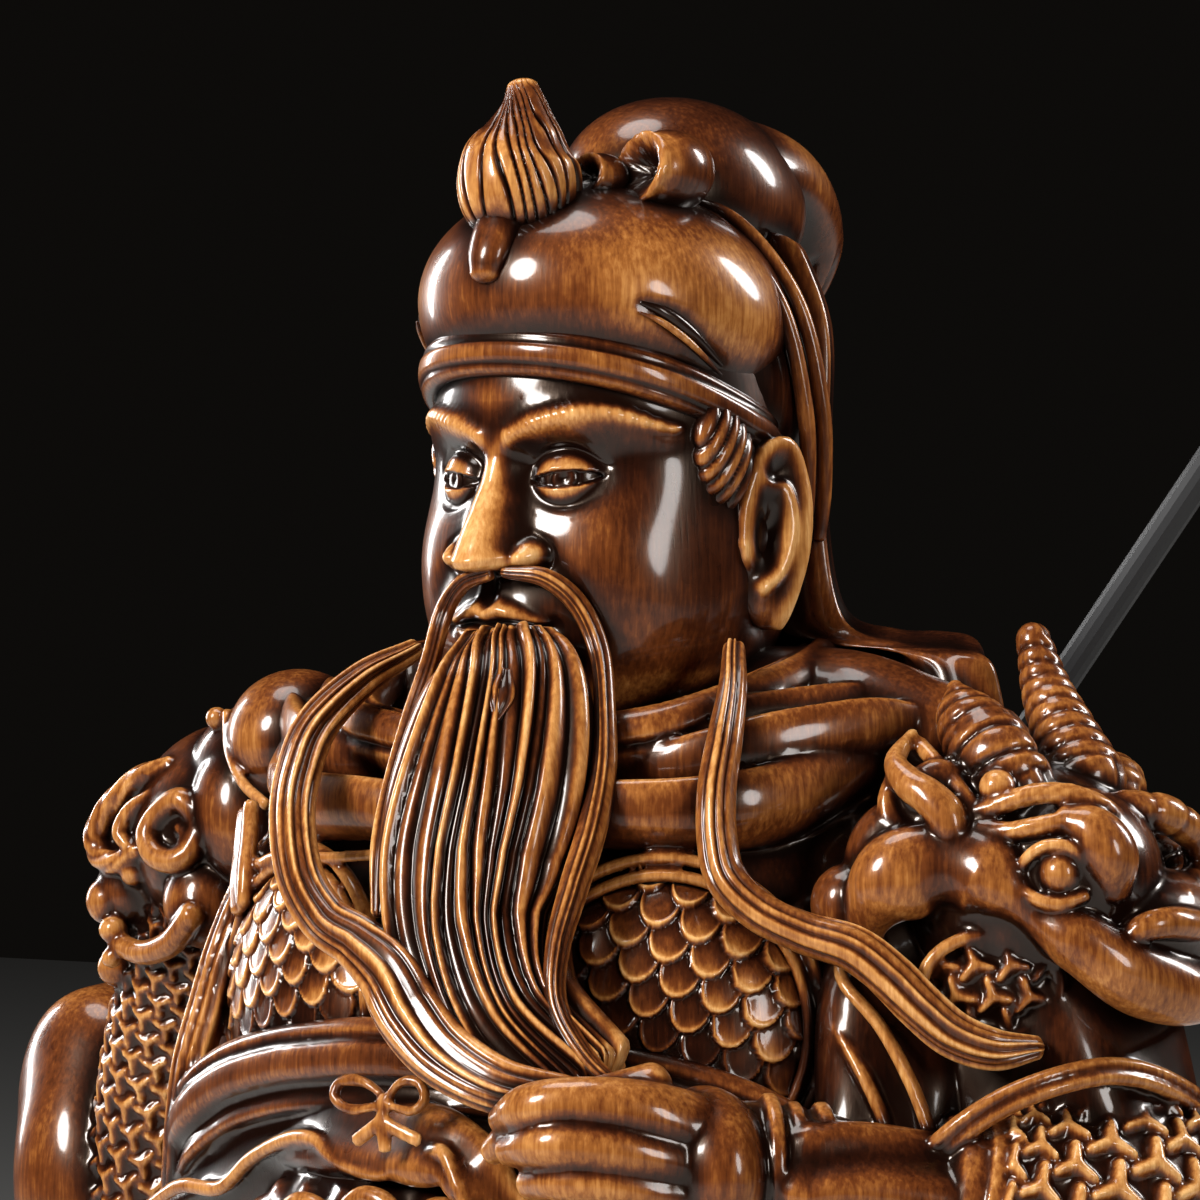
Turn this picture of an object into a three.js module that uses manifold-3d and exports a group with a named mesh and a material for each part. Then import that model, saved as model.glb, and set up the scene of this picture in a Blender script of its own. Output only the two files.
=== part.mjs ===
// A bearded general in scale armour, stroking the beard with the left hand. The figure is cast in one
// with the rock it stands on and rests on a separate oval plinth. Behind its back the right fist holds
// a glaive: a lacquered shaft with a crescent blade pushed onto its lower end.
import * as THREE from "three";
import { mergeVertices } from "three/addons/utils/BufferGeometryUtils.js";
import Module from "manifold-3d";

const wasm = await Module();
wasm.setup();

// Driving dimensions, in millimetres. +Z is up, the figure faces -Y and its left side is at +X.
const figureHeight = 410; // from the rock's underside to the tip of the cap's knob
const plinthWidth = 204;
const plinthDepth = 162;
const plinthHeight = 20;
const plinthMoulding = 3.2; // how deep the moulding cuts into the plinth's edge
const plinthSquareness = 2.5; // 2 is an ellipse, and more is squarer
const seatGap = 0.3; // between the rock and the plinth
const shaftDiameter = 5;
const shaftBelowGrip = 58; // from the middle of the fist to the shaft's end in the socket
const shaftAboveGrip = 222; // from the middle of the fist to the foot of the butt spike
const buttSpike = 15;
const buttDiameter = 8.4;
const gripClearance = 0.4; // all round the shaft where it passes through the fist
const socketDepth = 13;
const socketWall = 2.4;
const socketClearance = 0.3;
const bladeLength = 108;
const bladeWidth = 34;
const bladeThickness = 3;

// The figure is proportioned in parts, 410 to its whole height: about six and a half heads of 60.
const canon = 410;
const part = figureHeight / canon;
const mostTriangles = 8650; // left in the figure when its forms have been joined
const detail = [[392, 40], [322, 20], [235, 4], [0, 1]]; // from each height up, how finely the form is kept
const headCentre = [3, -3, 349]; // between the ears
const headTurn = [3, 0, -8]; // degrees: a little forward, and towards the right shoulder
const gripPoint = [-46, 44, 186]; // the middle of the right fist
const shaftPass = [53, 47, 322]; // where the shaft passes behind the left shoulder

const radians = THREE.MathUtils.degToRad;

// A closed solid from a geometry, whichever way its faces are wound.
function solidOf(geometry) {
  geometry.deleteAttribute("normal");
  geometry.deleteAttribute("uv");
  const merged = mergeVertices(geometry, 1e-4);
  const vertProperties = merged.attributes.position.array;
  const triVerts = new Uint32Array(merged.index.array);
  const whole = new wasm.Manifold(new wasm.Mesh({ numProp: 3, vertProperties, triVerts }));
  if (whole.volume() > 0) return whole;
  return new wasm.Manifold(new wasm.Mesh({ numProp: 3, vertProperties, triVerts: triVerts.reverse() }));
}

function geometryOf(positions, index) {
  const geometry = new THREE.BufferGeometry();
  geometry.setAttribute("position", new THREE.Float32BufferAttribute(positions, 3));
  geometry.setIndex(Array.from(index));
  return geometry;
}

function meshOf(solid) {
  const { vertProperties, triVerts } = solid.getMesh();
  return geometryOf(vertProperties, triVerts);
}

// Rings of points joined into a skin. With two poles its ends are closed, without them it is a loop.
function skin(rings, poles) {
  const sides = rings[0].length;
  const index = [];
  const spans = poles ? rings.length - 1 : rings.length;
  for (let r = 0; r < spans; r++) {
    const [here, next] = [r * sides, ((r + 1) % rings.length) * sides];
    for (let k = 0; k < sides; k++) {
      const l = (k + 1) % sides;
      index.push(here + k, here + l, next + l, here + k, next + l, next + k);
    }
  }
  for (let k = 0; poles && k < sides; k++) {
    const l = (k + 1) % sides;
    const [start, last] = [rings.length * sides, (rings.length - 1) * sides];
    index.push(start, l, k, start + 1, last + k, last + l);
  }
  const points = rings.flat().concat(poles ?? []);
  return geometryOf(points.flatMap((p) => [p.x, p.y, p.z]), index);
}

// A column of the stations at t, from 0 to 1, on a smooth curve through them all.
function smooth(stations, column, t, closed = false) {
  const count = stations.length;
  const spans = closed ? count : count - 1;
  const at = Math.min(t * spans, spans - 1e-9);
  const i = Math.floor(at);
  const f = at - i;
  const pick = (k) => {
    if (closed) return stations[(k + count) % count][column];
    if (k < 0) return 2 * stations[0][column] - stations[1][column];
    if (k >= count) return 2 * stations[count - 1][column] - stations[count - 2][column];
    return stations[k][column];
  };
  const [a, b, c, d] = [pick(i - 1), pick(i), pick(i + 1), pick(i + 2)];
  return b + 0.5 * f * (c - a + f * (2 * a - 5 * b + 4 * c - d + f * (3 * (b - c) + d - a)));
}

// A tube through stations [x, y, z, half width, half depth], its width laid along side. The ends are
// rounded by a share of its size, and so are the ridges that run along it. square flattens its faces.
function sweep(stations, options = {}) {
  const { side = [1, 0, 0], sides = 8, steps = 6, closed = false } = options;
  const { round = 0.8, ridges = 0, ridge = 0.12, square = 2 } = options;
  const across = new THREE.Vector3(...side);
  const place = (t) => new THREE.Vector3(...[0, 1, 2].map((k) => smooth(stations, k, t, closed)));
  const bent = (value) => Math.sign(value) * Math.abs(value) ** (2 / square);
  const ringAt = (t, shrink, push) => {
    const centre = place(t);
    const ahead = place(closed ? (t + 1e-3) % 1 : Math.min(t + 1e-3, 1));
    const behind = place(closed ? (t + 1 - 1e-3) % 1 : Math.max(t - 1e-3, 0));
    const along = ahead.sub(behind).normalize();
    const wide = across.clone().addScaledVector(along, -across.dot(along)).normalize();
    const deep = new THREE.Vector3().crossVectors(along, wide);
    const [halfWidth, halfDepth] = [smooth(stations, 3, t, closed), smooth(stations, 4, t, closed)];
    centre.addScaledVector(along, push * round * Math.min(halfWidth, halfDepth));
    const ring = Array.from({ length: sides }, (_, k) => {
      const angle = (2 * Math.PI * k) / sides;
      const swell = shrink * (ridges ? 1 + ridge * Math.cos(ridges * angle) : 1);
      const point = centre.clone().addScaledVector(wide, halfWidth * bent(Math.cos(angle)) * swell);
      return point.addScaledVector(deep, halfDepth * bent(Math.sin(angle)) * swell);
    });
    return { ring, centre };
  };
  const rings = Array.from({ length: steps + 1 }, (_, i) => ringAt(i / steps, 1, 0).ring);
  if (closed) return skin(rings.slice(0, steps));
  if (round) {
    rings.unshift(ringAt(0, 0.7, -0.7).ring);
    rings.push(ringAt(1, 0.7, 0.7).ring);
  }
  return skin(rings, [ringAt(0, 1, -1).centre, ringAt(1, 1, 1).centre]);
}

// An ellipsoid about the vertical, turned by degrees about X, Y and Z. relief(p) is how far it stands
// out at the point p of the plain ellipsoid.
function ball(centre, radii, { turn = [0, 0, 0], sides = 12, rings = 8, relief } = {}) {
  const geometry = new THREE.SphereGeometry(1, sides, rings).rotateX(Math.PI / 2);
  const position = geometry.attributes.position;
  const size = new THREE.Vector3(...radii);
  for (let i = 0; i < position.count; i++) {
    const out = new THREE.Vector3().fromBufferAttribute(position, i);
    const point = out.clone().multiply(size);
    if (relief) point.addScaledVector(out, relief(point));
    position.setXYZ(i, ...point);
  }
  const turned = new THREE.Quaternion().setFromEuler(new THREE.Euler(...turn.map(radians)));
  geometry.applyQuaternion(turned);
  return geometry.translate(...centre);
}

// A body of levels [z, middle x, middle y, half width, front depth, back depth]: its surface at t and at
// an angle from the left side round by the back, moved outwards by grow.
function levelPoint(levels, t, angle, grow = 0) {
  const [z, x, y, width, front, back] = [0, 1, 2, 3, 4, 5].map((k) => smooth(levels, k, t));
  const depth = Math.sin(angle) < 0 ? front : back;
  return new THREE.Vector3(x + (width + grow) * Math.cos(angle), y + (depth + grow) * Math.sin(angle), z);
}

// The body of those levels, flat at both ends. relief(angle, t) is how far its surface stands out.
function stack(levels, { sides = 24, steps = 8, relief = () => 0 } = {}) {
  const rings = Array.from({ length: steps + 1 }, (_, i) => {
    return Array.from({ length: sides }, (_, k) => {
      const angle = (2 * Math.PI * k) / sides;
      return levelPoint(levels, i / steps, angle, relief(angle, i / steps));
    });
  });
  const end = (t) => new THREE.Vector3(...[1, 2, 0].map((k) => smooth(levels, k, t)));
  return skin(rings, [end(0), end(1)]);
}

// A sheet that wraps a body of levels from one angle to another, in degrees. Its lower edge hangs by
// drop(share), share running from 0 to 1 across it.
function wrap(levels, from, to, thickness, options = {}) {
  const { cells = 8, steps = 6, relief = () => 0, drop = () => 0 } = options;
  const rings = Array.from({ length: steps + 1 }, (_, i) => {
    const t = i / steps;
    const row = (inset) =>
      Array.from({ length: cells + 1 }, (_, k) => {
        const angle = radians(from + ((to - from) * k) / cells);
        const point = levelPoint(levels, t, angle, relief(k / cells, t) - inset);
        point.z -= (1 - t) * drop(k / cells);
        return point;
      });
    return row(0).concat(row(thickness).reverse());
  });
  const middleOf = (ring) => {
    const half = Math.floor(cells / 2);
    return ring[half].clone().add(ring[2 * cells + 1 - half]).multiplyScalar(0.5);
  };
  return skin(rings, [middleOf(rings[0]), middleOf(rings[steps])]);
}

// The solid with its least needed edges drawn together, cheapest first, until few enough triangles are
// left. The cost of moving a corner is its squared distance from the planes of the faces it had, times
// the care given to them. Edges shorter than speck go first.
function thinned(solid, most, care, speck = 0.05) {
  const mesh = solid.getMesh();
  const corner = (i) => new THREE.Vector3().fromArray(mesh.vertProperties, 3 * i);
  const points = Array.from({ length: mesh.numVert }, (_, i) => corner(i));
  let faces = Array.from({ length: mesh.numTri }, (_, i) => [...mesh.triVerts.slice(3 * i, 3 * i + 3)]);
  const normalOf = (a, b, c) => b.clone().sub(a).cross(c.clone().sub(a));
  const planes = points.map(() => []);
  for (const face of faces) {
    const normal = normalOf(...face.map((v) => points[v]));
    const weight = Math.sqrt(normal.length()) * care(points[face[0]]);
    if (weight === 0) continue;
    normal.normalize();
    const plane = [normal.x, normal.y, normal.z, -normal.dot(points[face[0]])];
    const square = plane.flatMap((p, i) => plane.slice(i).map((q) => weight * p * q));
    for (const v of face) planes[v] = square.map((s, i) => s + (planes[v][i] ?? 0));
  }
  const sharpness = (corners, normal) => {
    const longest = Math.max(...corners.map((p, k) => p.distanceToSquared(corners[(k + 1) % 3])));
    return normal.length() / longest;
  };
  const costAt = (q, p) => {
    const x = p.x * (q[0] * p.x + 2 * (q[1] * p.y + q[2] * p.z + q[3]));
    const y = p.y * (q[4] * p.y + 2 * (q[5] * p.z + q[6]));
    return x + y + p.z * (q[7] * p.z + 2 * q[8]) + q[9];
  };
  for (let before = Infinity; faces.length < before; ) {
    before = faces.length;
    const around = points.map(() => []);
    for (const face of faces) for (const v of face) around[v].push(face);
    const neighbours = (v) => new Set(around[v].flat());
    const edges = [];
    for (const face of faces) {
      for (let k = 0; k < 3; k++) {
        const [a, b] = [face[k], face[(k + 1) % 3]];
        if (a > b) continue;
        const both = planes[a].map((s, i) => s + planes[b][i]);
        const length = points[a].distanceTo(points[b]);
        const middle = points[a].clone().lerp(points[b], 0.5);
        const costs = [points[a], points[b], middle].map((p) => ({ p, cost: costAt(both, p) }));
        const best = costs.reduce((least, c) => (c.cost < least.cost ? c : least));
        const tiny = length < speck;
        const cost = tiny ? length - speck : Math.abs(best.cost) + 2e-4 * length ** 2;
        edges.push({ a, b, both, tiny, to: best.p.clone(), cost });
      }
    }
    edges.sort((e, f) => e.cost - f.cost);
    const touched = new Set();
    const gone = new Set();
    for (const { a, b, both, tiny, to } of edges.slice(0, edges.length / 3)) {
      if (faces.length - gone.size <= most && !tiny) break;
      if (touched.has(a) || touched.has(b)) continue;
      const [nearA, nearB] = [neighbours(a), neighbours(b)];
      if ([...nearA].filter((v) => v !== a && v !== b && nearB.has(v)).length !== 2) continue;
      const kept = [...around[a], ...around[b]].filter((face) => !(face.includes(a) && face.includes(b)));
      const sound = kept.every((face) => {
        const corners = face.map((v) => points[v]);
        const moved = face.map((v) => (v === a || v === b ? to : points[v]));
        const [before, after] = [normalOf(...corners), normalOf(...moved)];
        if (sharpness(moved, after) < Math.min(0.05, sharpness(corners, before))) return false;
        return before.length() < 0.01 || after.dot(before) > 0.3 * after.length() * before.length();
      });
      if (!sound && !tiny) continue;
      for (const face of around[b]) {
        if (face.includes(a)) gone.add(face);
        else face[face.indexOf(b)] = a;
      }
      points[a].copy(to);
      planes[a] = both;
      for (const v of [...nearA, ...nearB]) touched.add(v);
    }
    faces = faces.filter((face) => !gone.has(face));
  }
  const positions = points.flatMap((p) => [p.x, p.y, p.z]);
  return solidOf(geometryOf(positions, faces.flat()).toNonIndexed());
}

const mirror = (s, stations) => stations.map(([x, ...rest]) => [s * x, ...rest]);
const bump = (x, z, [x0, z0, spreadX, spreadZ, height]) => {
  return height * Math.exp(-(((x - x0) / spreadX) ** 2) - ((z - z0) / spreadZ) ** 2);
};

// Head forms are set out about the point between the ears, facing straight ahead.
function headForms() {
  // Each mound or hollow of the face: its middle x and z, its spreads, and how far it stands out.
  const features = [[0, 12, 16, 6, 1.2], [0, -6, 6, 8, 1.8], [0, -19, 12, 6, 2.4], [0, -30, 8, 7, 3]];
  for (const s of [-1, 1]) {
    features.push([s * 11, 3.5, 6.5, 4.4, -2.6], [s * 12, 10, 9, 3.4, 1.4], [s * 16, -7, 8, 7, 2.2]);
    features.push([s * 20, -20, 8, 9, 2.2]);
  }
  const relief = (p) => (p.y > -4 ? 0 : features.reduce((sum, f) => sum + bump(p.x, p.z + 4, f), 0));
  const nose = [[0, -27.5, 7, 2.8, 2.2], [0, -30.6, -1, 3, 3], [0, -32.6, -7.4, 4.4, 4]];
  const forms = [
    ball([0, -0.5, 4], [26, 27.5, 37], { sides: 28, rings: 22, relief }),
    ball([0, -9, -17], [21, 20, 17.5], { sides: 12, rings: 8 }), // jaw
    sweep([[0, 0, -12, 17, 17], [0, 4, -30, 18, 18], [0, 6, -42, 21, 20]], { steps: 2, round: 0 }), // neck
    sweep(nose, { sides: 8, steps: 4, round: 0.5 }),
    sweep([[-8.5, -28.5, -17.6, 1.4, 1.6], [0, -32, -16.4, 1.5, 2.2], [8.5, -28.5, -17.6, 1.4, 1.6]], {
      side: [0, 0, 1], steps: 6, sides: 6,
    }), // upper lip
    sweep([[-6.5, -28.5, -20.5, 1.4, 1.6], [0, -31, -20.6, 1.9, 2.2], [6.5, -28.5, -20.5, 1.4, 1.6]], {
      side: [0, 0, 1], steps: 4, sides: 6,
    }), // lower lip
  ];
  for (const s of [-1, 1]) {
    const brow = [[4, -29.6, 9, 1.5, 1.3], [10, -28.6, 11, 1.9, 1.5], [16, -25.4, 11.6, 1.6, 1.4],
      [22, -19.5, 9, 1, 1]];
    const lid = [[4.4, -26.4, 2.6, 1, 1.3], [10.5, -27, 5.4, 1.1, 1.3], [17, -22.6, 3, 1, 1.2]];
    const ear = [[26, -1, 2, 1.8, 2], [27.5, 1, 9, 2, 2.2], [28.5, 6, 8, 2, 2.2], [28, 6, -1, 2, 2.2],
      [27, 2, -8, 2.4, 2.2], [26, 0, -14, 3, 2.4]];
    const temple = [[22, -14, 14, 3, 2.4], [25, -8, 6, 3.6, 2.6], [25.4, -6, -3, 2.2, 2.2]];
    forms.push(
      sweep(mirror(s, brow), { side: [0, 0, 1], steps: 6, sides: 6 }),
      ball([s * 10.5, -23.8, 2.8], [6, 3.2, 3], { turn: [0, 0, s * 14], sides: 10, rings: 6 }),
      sweep(mirror(s, lid), { side: [0, 0, 1], steps: 5, sides: 5 }),
      ball([s * 4.8, -30.2, -8.2], [3, 3, 2.6], { sides: 8, rings: 6 }), // wing of the nose
      ball([s * 26.4, 2, -1], [2.2, 5, 10], { sides: 8, rings: 6 }),
      sweep(mirror(s, ear), { side: [0, 1, 0], steps: 10, sides: 6 }),
      sweep(mirror(s, temple), { side: [0, 1, 0], steps: 4, sides: 8, ridges: 4, ridge: 0.16 }),
    );
  }
  return forms;
}

// The soft cap: its dome over a rolled band, the fluted knob and its drop, the tied bows, the rim that
// parts the dome from the drape behind, and the bag that falls over the back.
function capForms() {
  const band = [[0, -28, 23], [18, -21, 20.5], [26.5, -3, 13], [25, 18, 3], [0, 31, -4], [-25, 18, 3],
    [-26.5, -3, 13], [-18, -21, 20.5]];
  const knob = [[0, -21, 39, 5, 5], [0, -20.5, 45, 9, 8.8], [0, -20, 51, 7.6, 7.4],
    [0, -19.5, 56, 3.6, 3.6],
    [0, -19, 59.6, 2.4, 2.4]];
  const forms = [
    ball([0, -1, 26], [28, 30, 19.5], { turn: [-12, 0, 0], sides: 24, rings: 14 }),
    ball([0, 9, 15], [27.5, 26, 27], { sides: 18, rings: 12 }),
    sweep(band.map((p) => [...p, 4, 2.6]), { side: [0, 0.1, 1],
      closed: true, steps: 28, sides: 10, ridges: 2 }),
    sweep(knob, { sides: 24, steps: 10, ridges: 8, ridge: 0.09, round: 0.4 }),
    sweep([[0, -31, 29, 1.6, 1.6], [0, -30, 33, 3.8, 3.4], [0, -26, 39, 5, 4.6]], { steps: 4, sides: 10 }),
    ball([0, 17, 43], [17.5, 21, 15.5], { turn: [-14, 0, 0], sides: 18, rings: 10 }),
    sweep([[0, 12, 48, 15, 10], [0, 30, 46, 14, 9], [0, 42, 38, 9, 7], [0, 45, 30, 4, 4]],
      { steps: 8, sides: 12 }),
  ];
  for (const s of [-1, 1]) {
    const bow = [[2, -12, 44, 2, 4.6], [8, -12, 51, 2.4, 5], [14, -6, 49, 2.2, 4.6], [11, -3, 42, 2, 4.4]];
    const rim = [[6, 0, 45, 2, 2.2], [18, 2, 40, 2.2, 2.4], [27, 5, 26, 2.2, 2.4], [29, 8, 10, 2.2, 2.2],
      [28, 10, -6, 2, 2], [26.5, 11, -20, 2, 2]];
    const slit = [[22, -17, 31, 0.9, 0.9], [26.8, -9, 27, 1.3, 1.2], [28.4, -1, 21, 0.8, 0.8]];
    forms.push(
      sweep(mirror(s, bow), { side: [0, 1, 0.3], steps: 8, sides: 8 }),
      sweep(mirror(s, rim), { side: [0, 1, 0], steps: 10, sides: 6 }),
      sweep(mirror(s, slit), { side: [0, 0, 1], steps: 5, sides: 5 }),
    );
  }
  return forms;
}

// The drape of the cap, from its rim down over the nape and out onto the shoulders.
function drapeForms() {
  const drape = [[306, 0, 0, 64, 20, 37], [313, 0, 1, 58, 20, 36], [320, 1, 2, 44, 20, 31],
    [328, 2, 3, 33, 20, 26],
    [340, 3, 4, 30, 20, 25], [356, 3, 5, 31, 20, 25], [372, 4, 6, 29, 16, 24], [386, 4, 7, 21, 12, 19]];
  const fold = (share, t) => 1.6 * (1 - t) * Math.cos(share * 26);
  return [wrap(drape, 12, 170, 8, { cells: 28, steps: 14, relief: fold })];
}

// The long beard with the moustache laid down both its sides, and the two locks that hang free.
function beardForms() {
  const beard = [[1, -29, 323, 8, 5], [3, -35, 316, 11, 7.5], [8, -42, 304, 14.5, 9],
    [13, -49.5, 290, 14, 9], [17, -54, 278, 12, 8], [23, -57, 269, 11, 7], [30, -57, 262, 9, 6]];
  const leftMoustache = [[1, -35.5, 339, 1.6, 1.6], [10, -34, 336.5, 2.4, 2], [16, -33.5, 328, 2.6, 2.4],
    [20, -38.5, 313, 3, 2.8], [23, -48, 295, 3, 2.8], [24, -54, 280, 2.6, 2.6], [29, -58, 268, 2, 2]];
  const rightMoustache = [[-0.6, -35.5, 339, 1.6, 1.6], [-8.6, -32, 336, 2.4, 2],
    [-13.1, -31.5, 328, 2.6, 2.4], [-11.6, -38.5, 313, 3, 2.8], [-5.6, -49, 296, 3, 2.8],
    [0.4, -55, 283, 2.6, 2.6]];
  const rightLock = [[-19, -16, 327, 3, 3], [-26, -30, 318, 3.4, 3.2], [-31.5, -39, 308, 4, 3.4],
    [-30, -44, 299, 4, 3.6], [-22, -50.5, 288, 4, 3.6], [-9, -55, 282, 4.4, 3.8], [5, -59, 274, 4.2, 3.6],
    [19, -62, 265, 3.4, 3]];
  const leftLock = [[29.5, -14, 325, 3, 2.6], [35.5, -30, 313, 4, 3.2], [40.5, -42, 301, 4.2, 3.4],
    [47.5, -44.5, 289, 4.2, 3.4], [58.5, -40, 283.5, 4.2, 3.6], [68.5, -36, 279, 4.2, 3.6],
    [76.5, -33, 273, 3.8, 3.4], [86.5, -28.5, 271, 2.2, 2.2]];
  const strands = [leftMoustache, rightMoustache, rightLock, leftLock];
  const forms = strands.map((strand) => {
    return sweep(strand, { side: [0.6, 0, 0.8], sides: 12, steps: 16, ridges: 4, ridge: 0.14 });
  });
  return [sweep(beard, { side: [1, 0.3, 0.2], sides: 40, steps: 12, ridges: 13, ridge: 0.055 }), ...forms];
}

const trunk = [[206, 0, 0, 57, 44, 36], [226, 0, 0, 60, 50, 38], [242, 0, 0, 61, 52, 38],
  [258, 0, 0, 60, 51, 38],
  [276, 0, 0, 57, 44, 37], [292, 0, 0, 58, 37, 35], [306, 0, 0, 51, 29, 31], [316, 0, 0, 33, 22, 24],
  [322, 0, 0, 22, 18, 20]];

// The breast plates, the arched belt with its knot, the belly guard with its mask, and the collar.
function armourForms() {
  const collar = [[0, -40, 296], [25, -35, 299], [46, -17, 307], [50, 8, 315], [0, 33, 320], [-50, 8, 315],
    [-46, -17, 307], [-25, -35, 299]].map((p) => [...p, 10, 4]);
  const scarf = [[0, -31, 309], [20, -26, 311], [31, -5, 318], [25, 15, 323], [0, 23, 325], [-25, 15, 323],
    [-31, -5, 318], [-20, -26, 311]].map((p) => [...p, 7, 5]);
  const belt = [[-65, 4, 238], [-60, -27, 247], [-38, -45, 263], [0, -53.5, 270], [38, -45, 263],
    [60, -27, 247],
    [65, 4, 238], [40, 32, 238], [0, 39, 238], [-40, 32, 238]].map((p) => [...p, 6.5, 3.2]);
  const sash = belt.map(([x, y, z, w, d]) => [x * 1.02, y * 1.02, z - 14, w - 1, d + 0.6]);
  const mouth = [[-16, -57, 237, 2.6, 3], [-12, -62, 229, 3, 3.4], [0, -64, 226, 3.2, 3.6],
    [12, -62, 229, 3, 3.4],
    [16, -57, 237, 2.6, 3]];
  const knot = Array.from({ length: 5 }, (_, k) => {
    const angle = (2 * Math.PI * k) / 5 + Math.PI / 2;
    return ball([5.4 * Math.cos(angle), -59, 264 + 5.4 * Math.sin(angle)], [3.4, 3, 3.4],
      { sides: 8, rings: 6 });
  });
  const forms = [
    stack(trunk, { sides: 28, steps: 12 }),
    sweep(collar, { side: [0, -0.5, 1], closed: true, steps: 40, sides: 12, ridges: 6, ridge: 0.08 }),
    sweep(scarf, { side: [0, -0.3, 1], closed: true, steps: 32, sides: 10, ridges: 4, ridge: 0.1 }),
    sweep(belt, { side: [0, 0, 1], closed: true, steps: 36, sides: 8, ridges: 4, ridge: 0.08 }),
    sweep(sash, { side: [0, 0, 1], closed: true, steps: 36, sides: 8 }),
    ball([0, -45, 238], [34, 15, 25], { sides: 20, rings: 12 }), // belly guard
    ball([0, -60, 241], [8, 7, 6], { sides: 10, rings: 8 }), // the mask's muzzle
    sweep([[-20, -56, 247, 2.4, 3], [-10, -61, 252, 3.6, 3.6], [0, -60, 248, 2.6, 3],
      [10, -61, 252, 3.6, 3.6],
      [20, -56, 247, 2.4, 3]], { side: [0, 0, 1], steps: 12 }),
    sweep(mouth, { side: [0, 0, 1], steps: 10, sides: 6 }),
    ball([0, -60, 264], [3, 3.4, 3], { sides: 8, rings: 6 }),
    ...knot,
  ];
  for (const s of [-1, 1]) {
    const lappet = [[24, -34, 305, 7, 3], [40, -27.5, 305, 12, 3.6], [53, -15, 309, 11, 4],
      [62, -5, 315, 6, 3]];
    const side = [Math.cos(radians(24)), Math.sin(radians(24)) * s];
    const rim = (size, out, thick) => {
      return Array.from({ length: 12 }, (_, k) => {
        const angle = (k * Math.PI) / 6;
        const across = size * Math.cos(angle);
        return [s * 34 + across * side[0], out + across * side[1], 277 + size * Math.sin(angle),
          thick, thick];
      });
    };
    forms.push(
      ball([s * 34, -35, 277], [21, 9, 21], { turn: [0, 0, s * 24], sides: 18, rings: 12 }),
      sweep(rim(20.5, -38, 2.2), { side: [0, 1, 0], closed: true, steps: 24, sides: 6 }),
      sweep(rim(23.6, -35.4, 2), { side: [0, 1, 0], closed: true, steps: 24, sides: 6 }),
      sweep(mirror(s, lappet), { side: [0, -0.4, 1], steps: 8, sides: 12, ridges: 4, ridge: 0.1 }),
      ball([s * 9, -60.5, 246], [3.2, 3, 3], { sides: 8, rings: 6 }), // the mask's eyes
      ball([s * 24, -54, 243], [3, 4, 5], { turn: [0, 0, s * 30], sides: 8, rings: 6 }), // its ears
    );
  }
  return forms;
}

// A beast's mask that caps the left shoulder and bites the sleeve, its snout outwards.
function shoulderForms() {
  const lip = [[57, -19, 268, 3.4, 3.2], [57, -24, 283, 4.6, 4], [64, -26.5, 292, 5, 4.6],
    [73, -27, 294.5, 5.4, 4.8],
    [82, -26, 292, 5.4, 4.8], [90, -21, 286, 5, 4.6], [96, -10, 281, 4.6, 4.4], [96, 4, 281, 4.6, 4.4],
    [88, 17, 287, 4.6, 4.4], [74, 20, 291, 4.4, 4], [62, 18, 288, 3.4, 3.2]];
  const browFront = [[73, -22, 304, 2, 2.6], [82, -25.5, 305.5, 3, 3], [90, -26, 306, 4, 3.6],
    [95, -22, 300, 3, 3]];
  const hornFront = [[80, -18, 305, 5.4, 5.4], [71, -17.5, 313.5, 4.6, 4.6], [63, -14, 318.5, 2.6, 2.6]];
  const hornBack = [[84, -3, 303, 6, 6], [79, -1, 314, 5.2, 5.2], [74, 1, 321, 4.2, 4.2],
    [69, 3, 326.5, 2.6, 2.6]];
  const ear = [[59, -18, 313, 1.6, 1.6], [65, -24, 309, 3.6, 2], [71, -26.5, 303, 3.6, 2],
    [72, -26, 298, 1.8, 1.6]];
  const forms = [
    ball([75, -2, 292], [20, 22, 20], { sides: 16, rings: 10 }),
    ball([90, -5, 289], [8, 13, 9], { sides: 12, rings: 8 }), // snout
    sweep(lip, { side: [0.3, 0.9, 0.3], steps: 20, sides: 8 }),
    sweep(browFront, { side: [0, 0, 1], steps: 6, sides: 6 }),
    sweep(hornFront, { sides: 10, steps: 6 }),
    sweep(hornBack, { sides: 10, steps: 8 }),
    sweep(ear, { side: [1, 0, 0.4], steps: 6, sides: 8 }),
    ball([88, -25.5, 298], [4.6, 4.4, 4.4], { sides: 10, rings: 8 }),
    sweep([[52, 6, 300, 13, 13], [74, 0, 298, 15, 15]], { side: [0, 1, 0], steps: 2, sides: 10, round: 0 }),
  ];
  for (const y of [-15, 0]) forms.push(ball([97, y, 289], [4.6, 5, 4.2], { sides: 8, rings: 6 }));
  for (const [x, y, z] of [[83, 5, 309], [88, 9, 302], [90, 12, 294]]) {
    forms.push(ball([x, y, z], [5.4, 6.4, 4.6], { turn: [20, 0, 30], sides: 8, rings: 6 })); // mane
  }
  return forms;
}

// The same mask on the right, smaller, lower and drawn back with its arm.
function rightShoulderForms() {
  const [joint, size] = [new THREE.Vector3(60, 0, 295), 0.86];
  return shoulderForms().map((form) => {
    form.translate(...joint.clone().negate()).scale(size, size, size).translate(...joint);
    return form.translate(0, 6, -4).scale(-1, 1, 1);
  });
}

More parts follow.
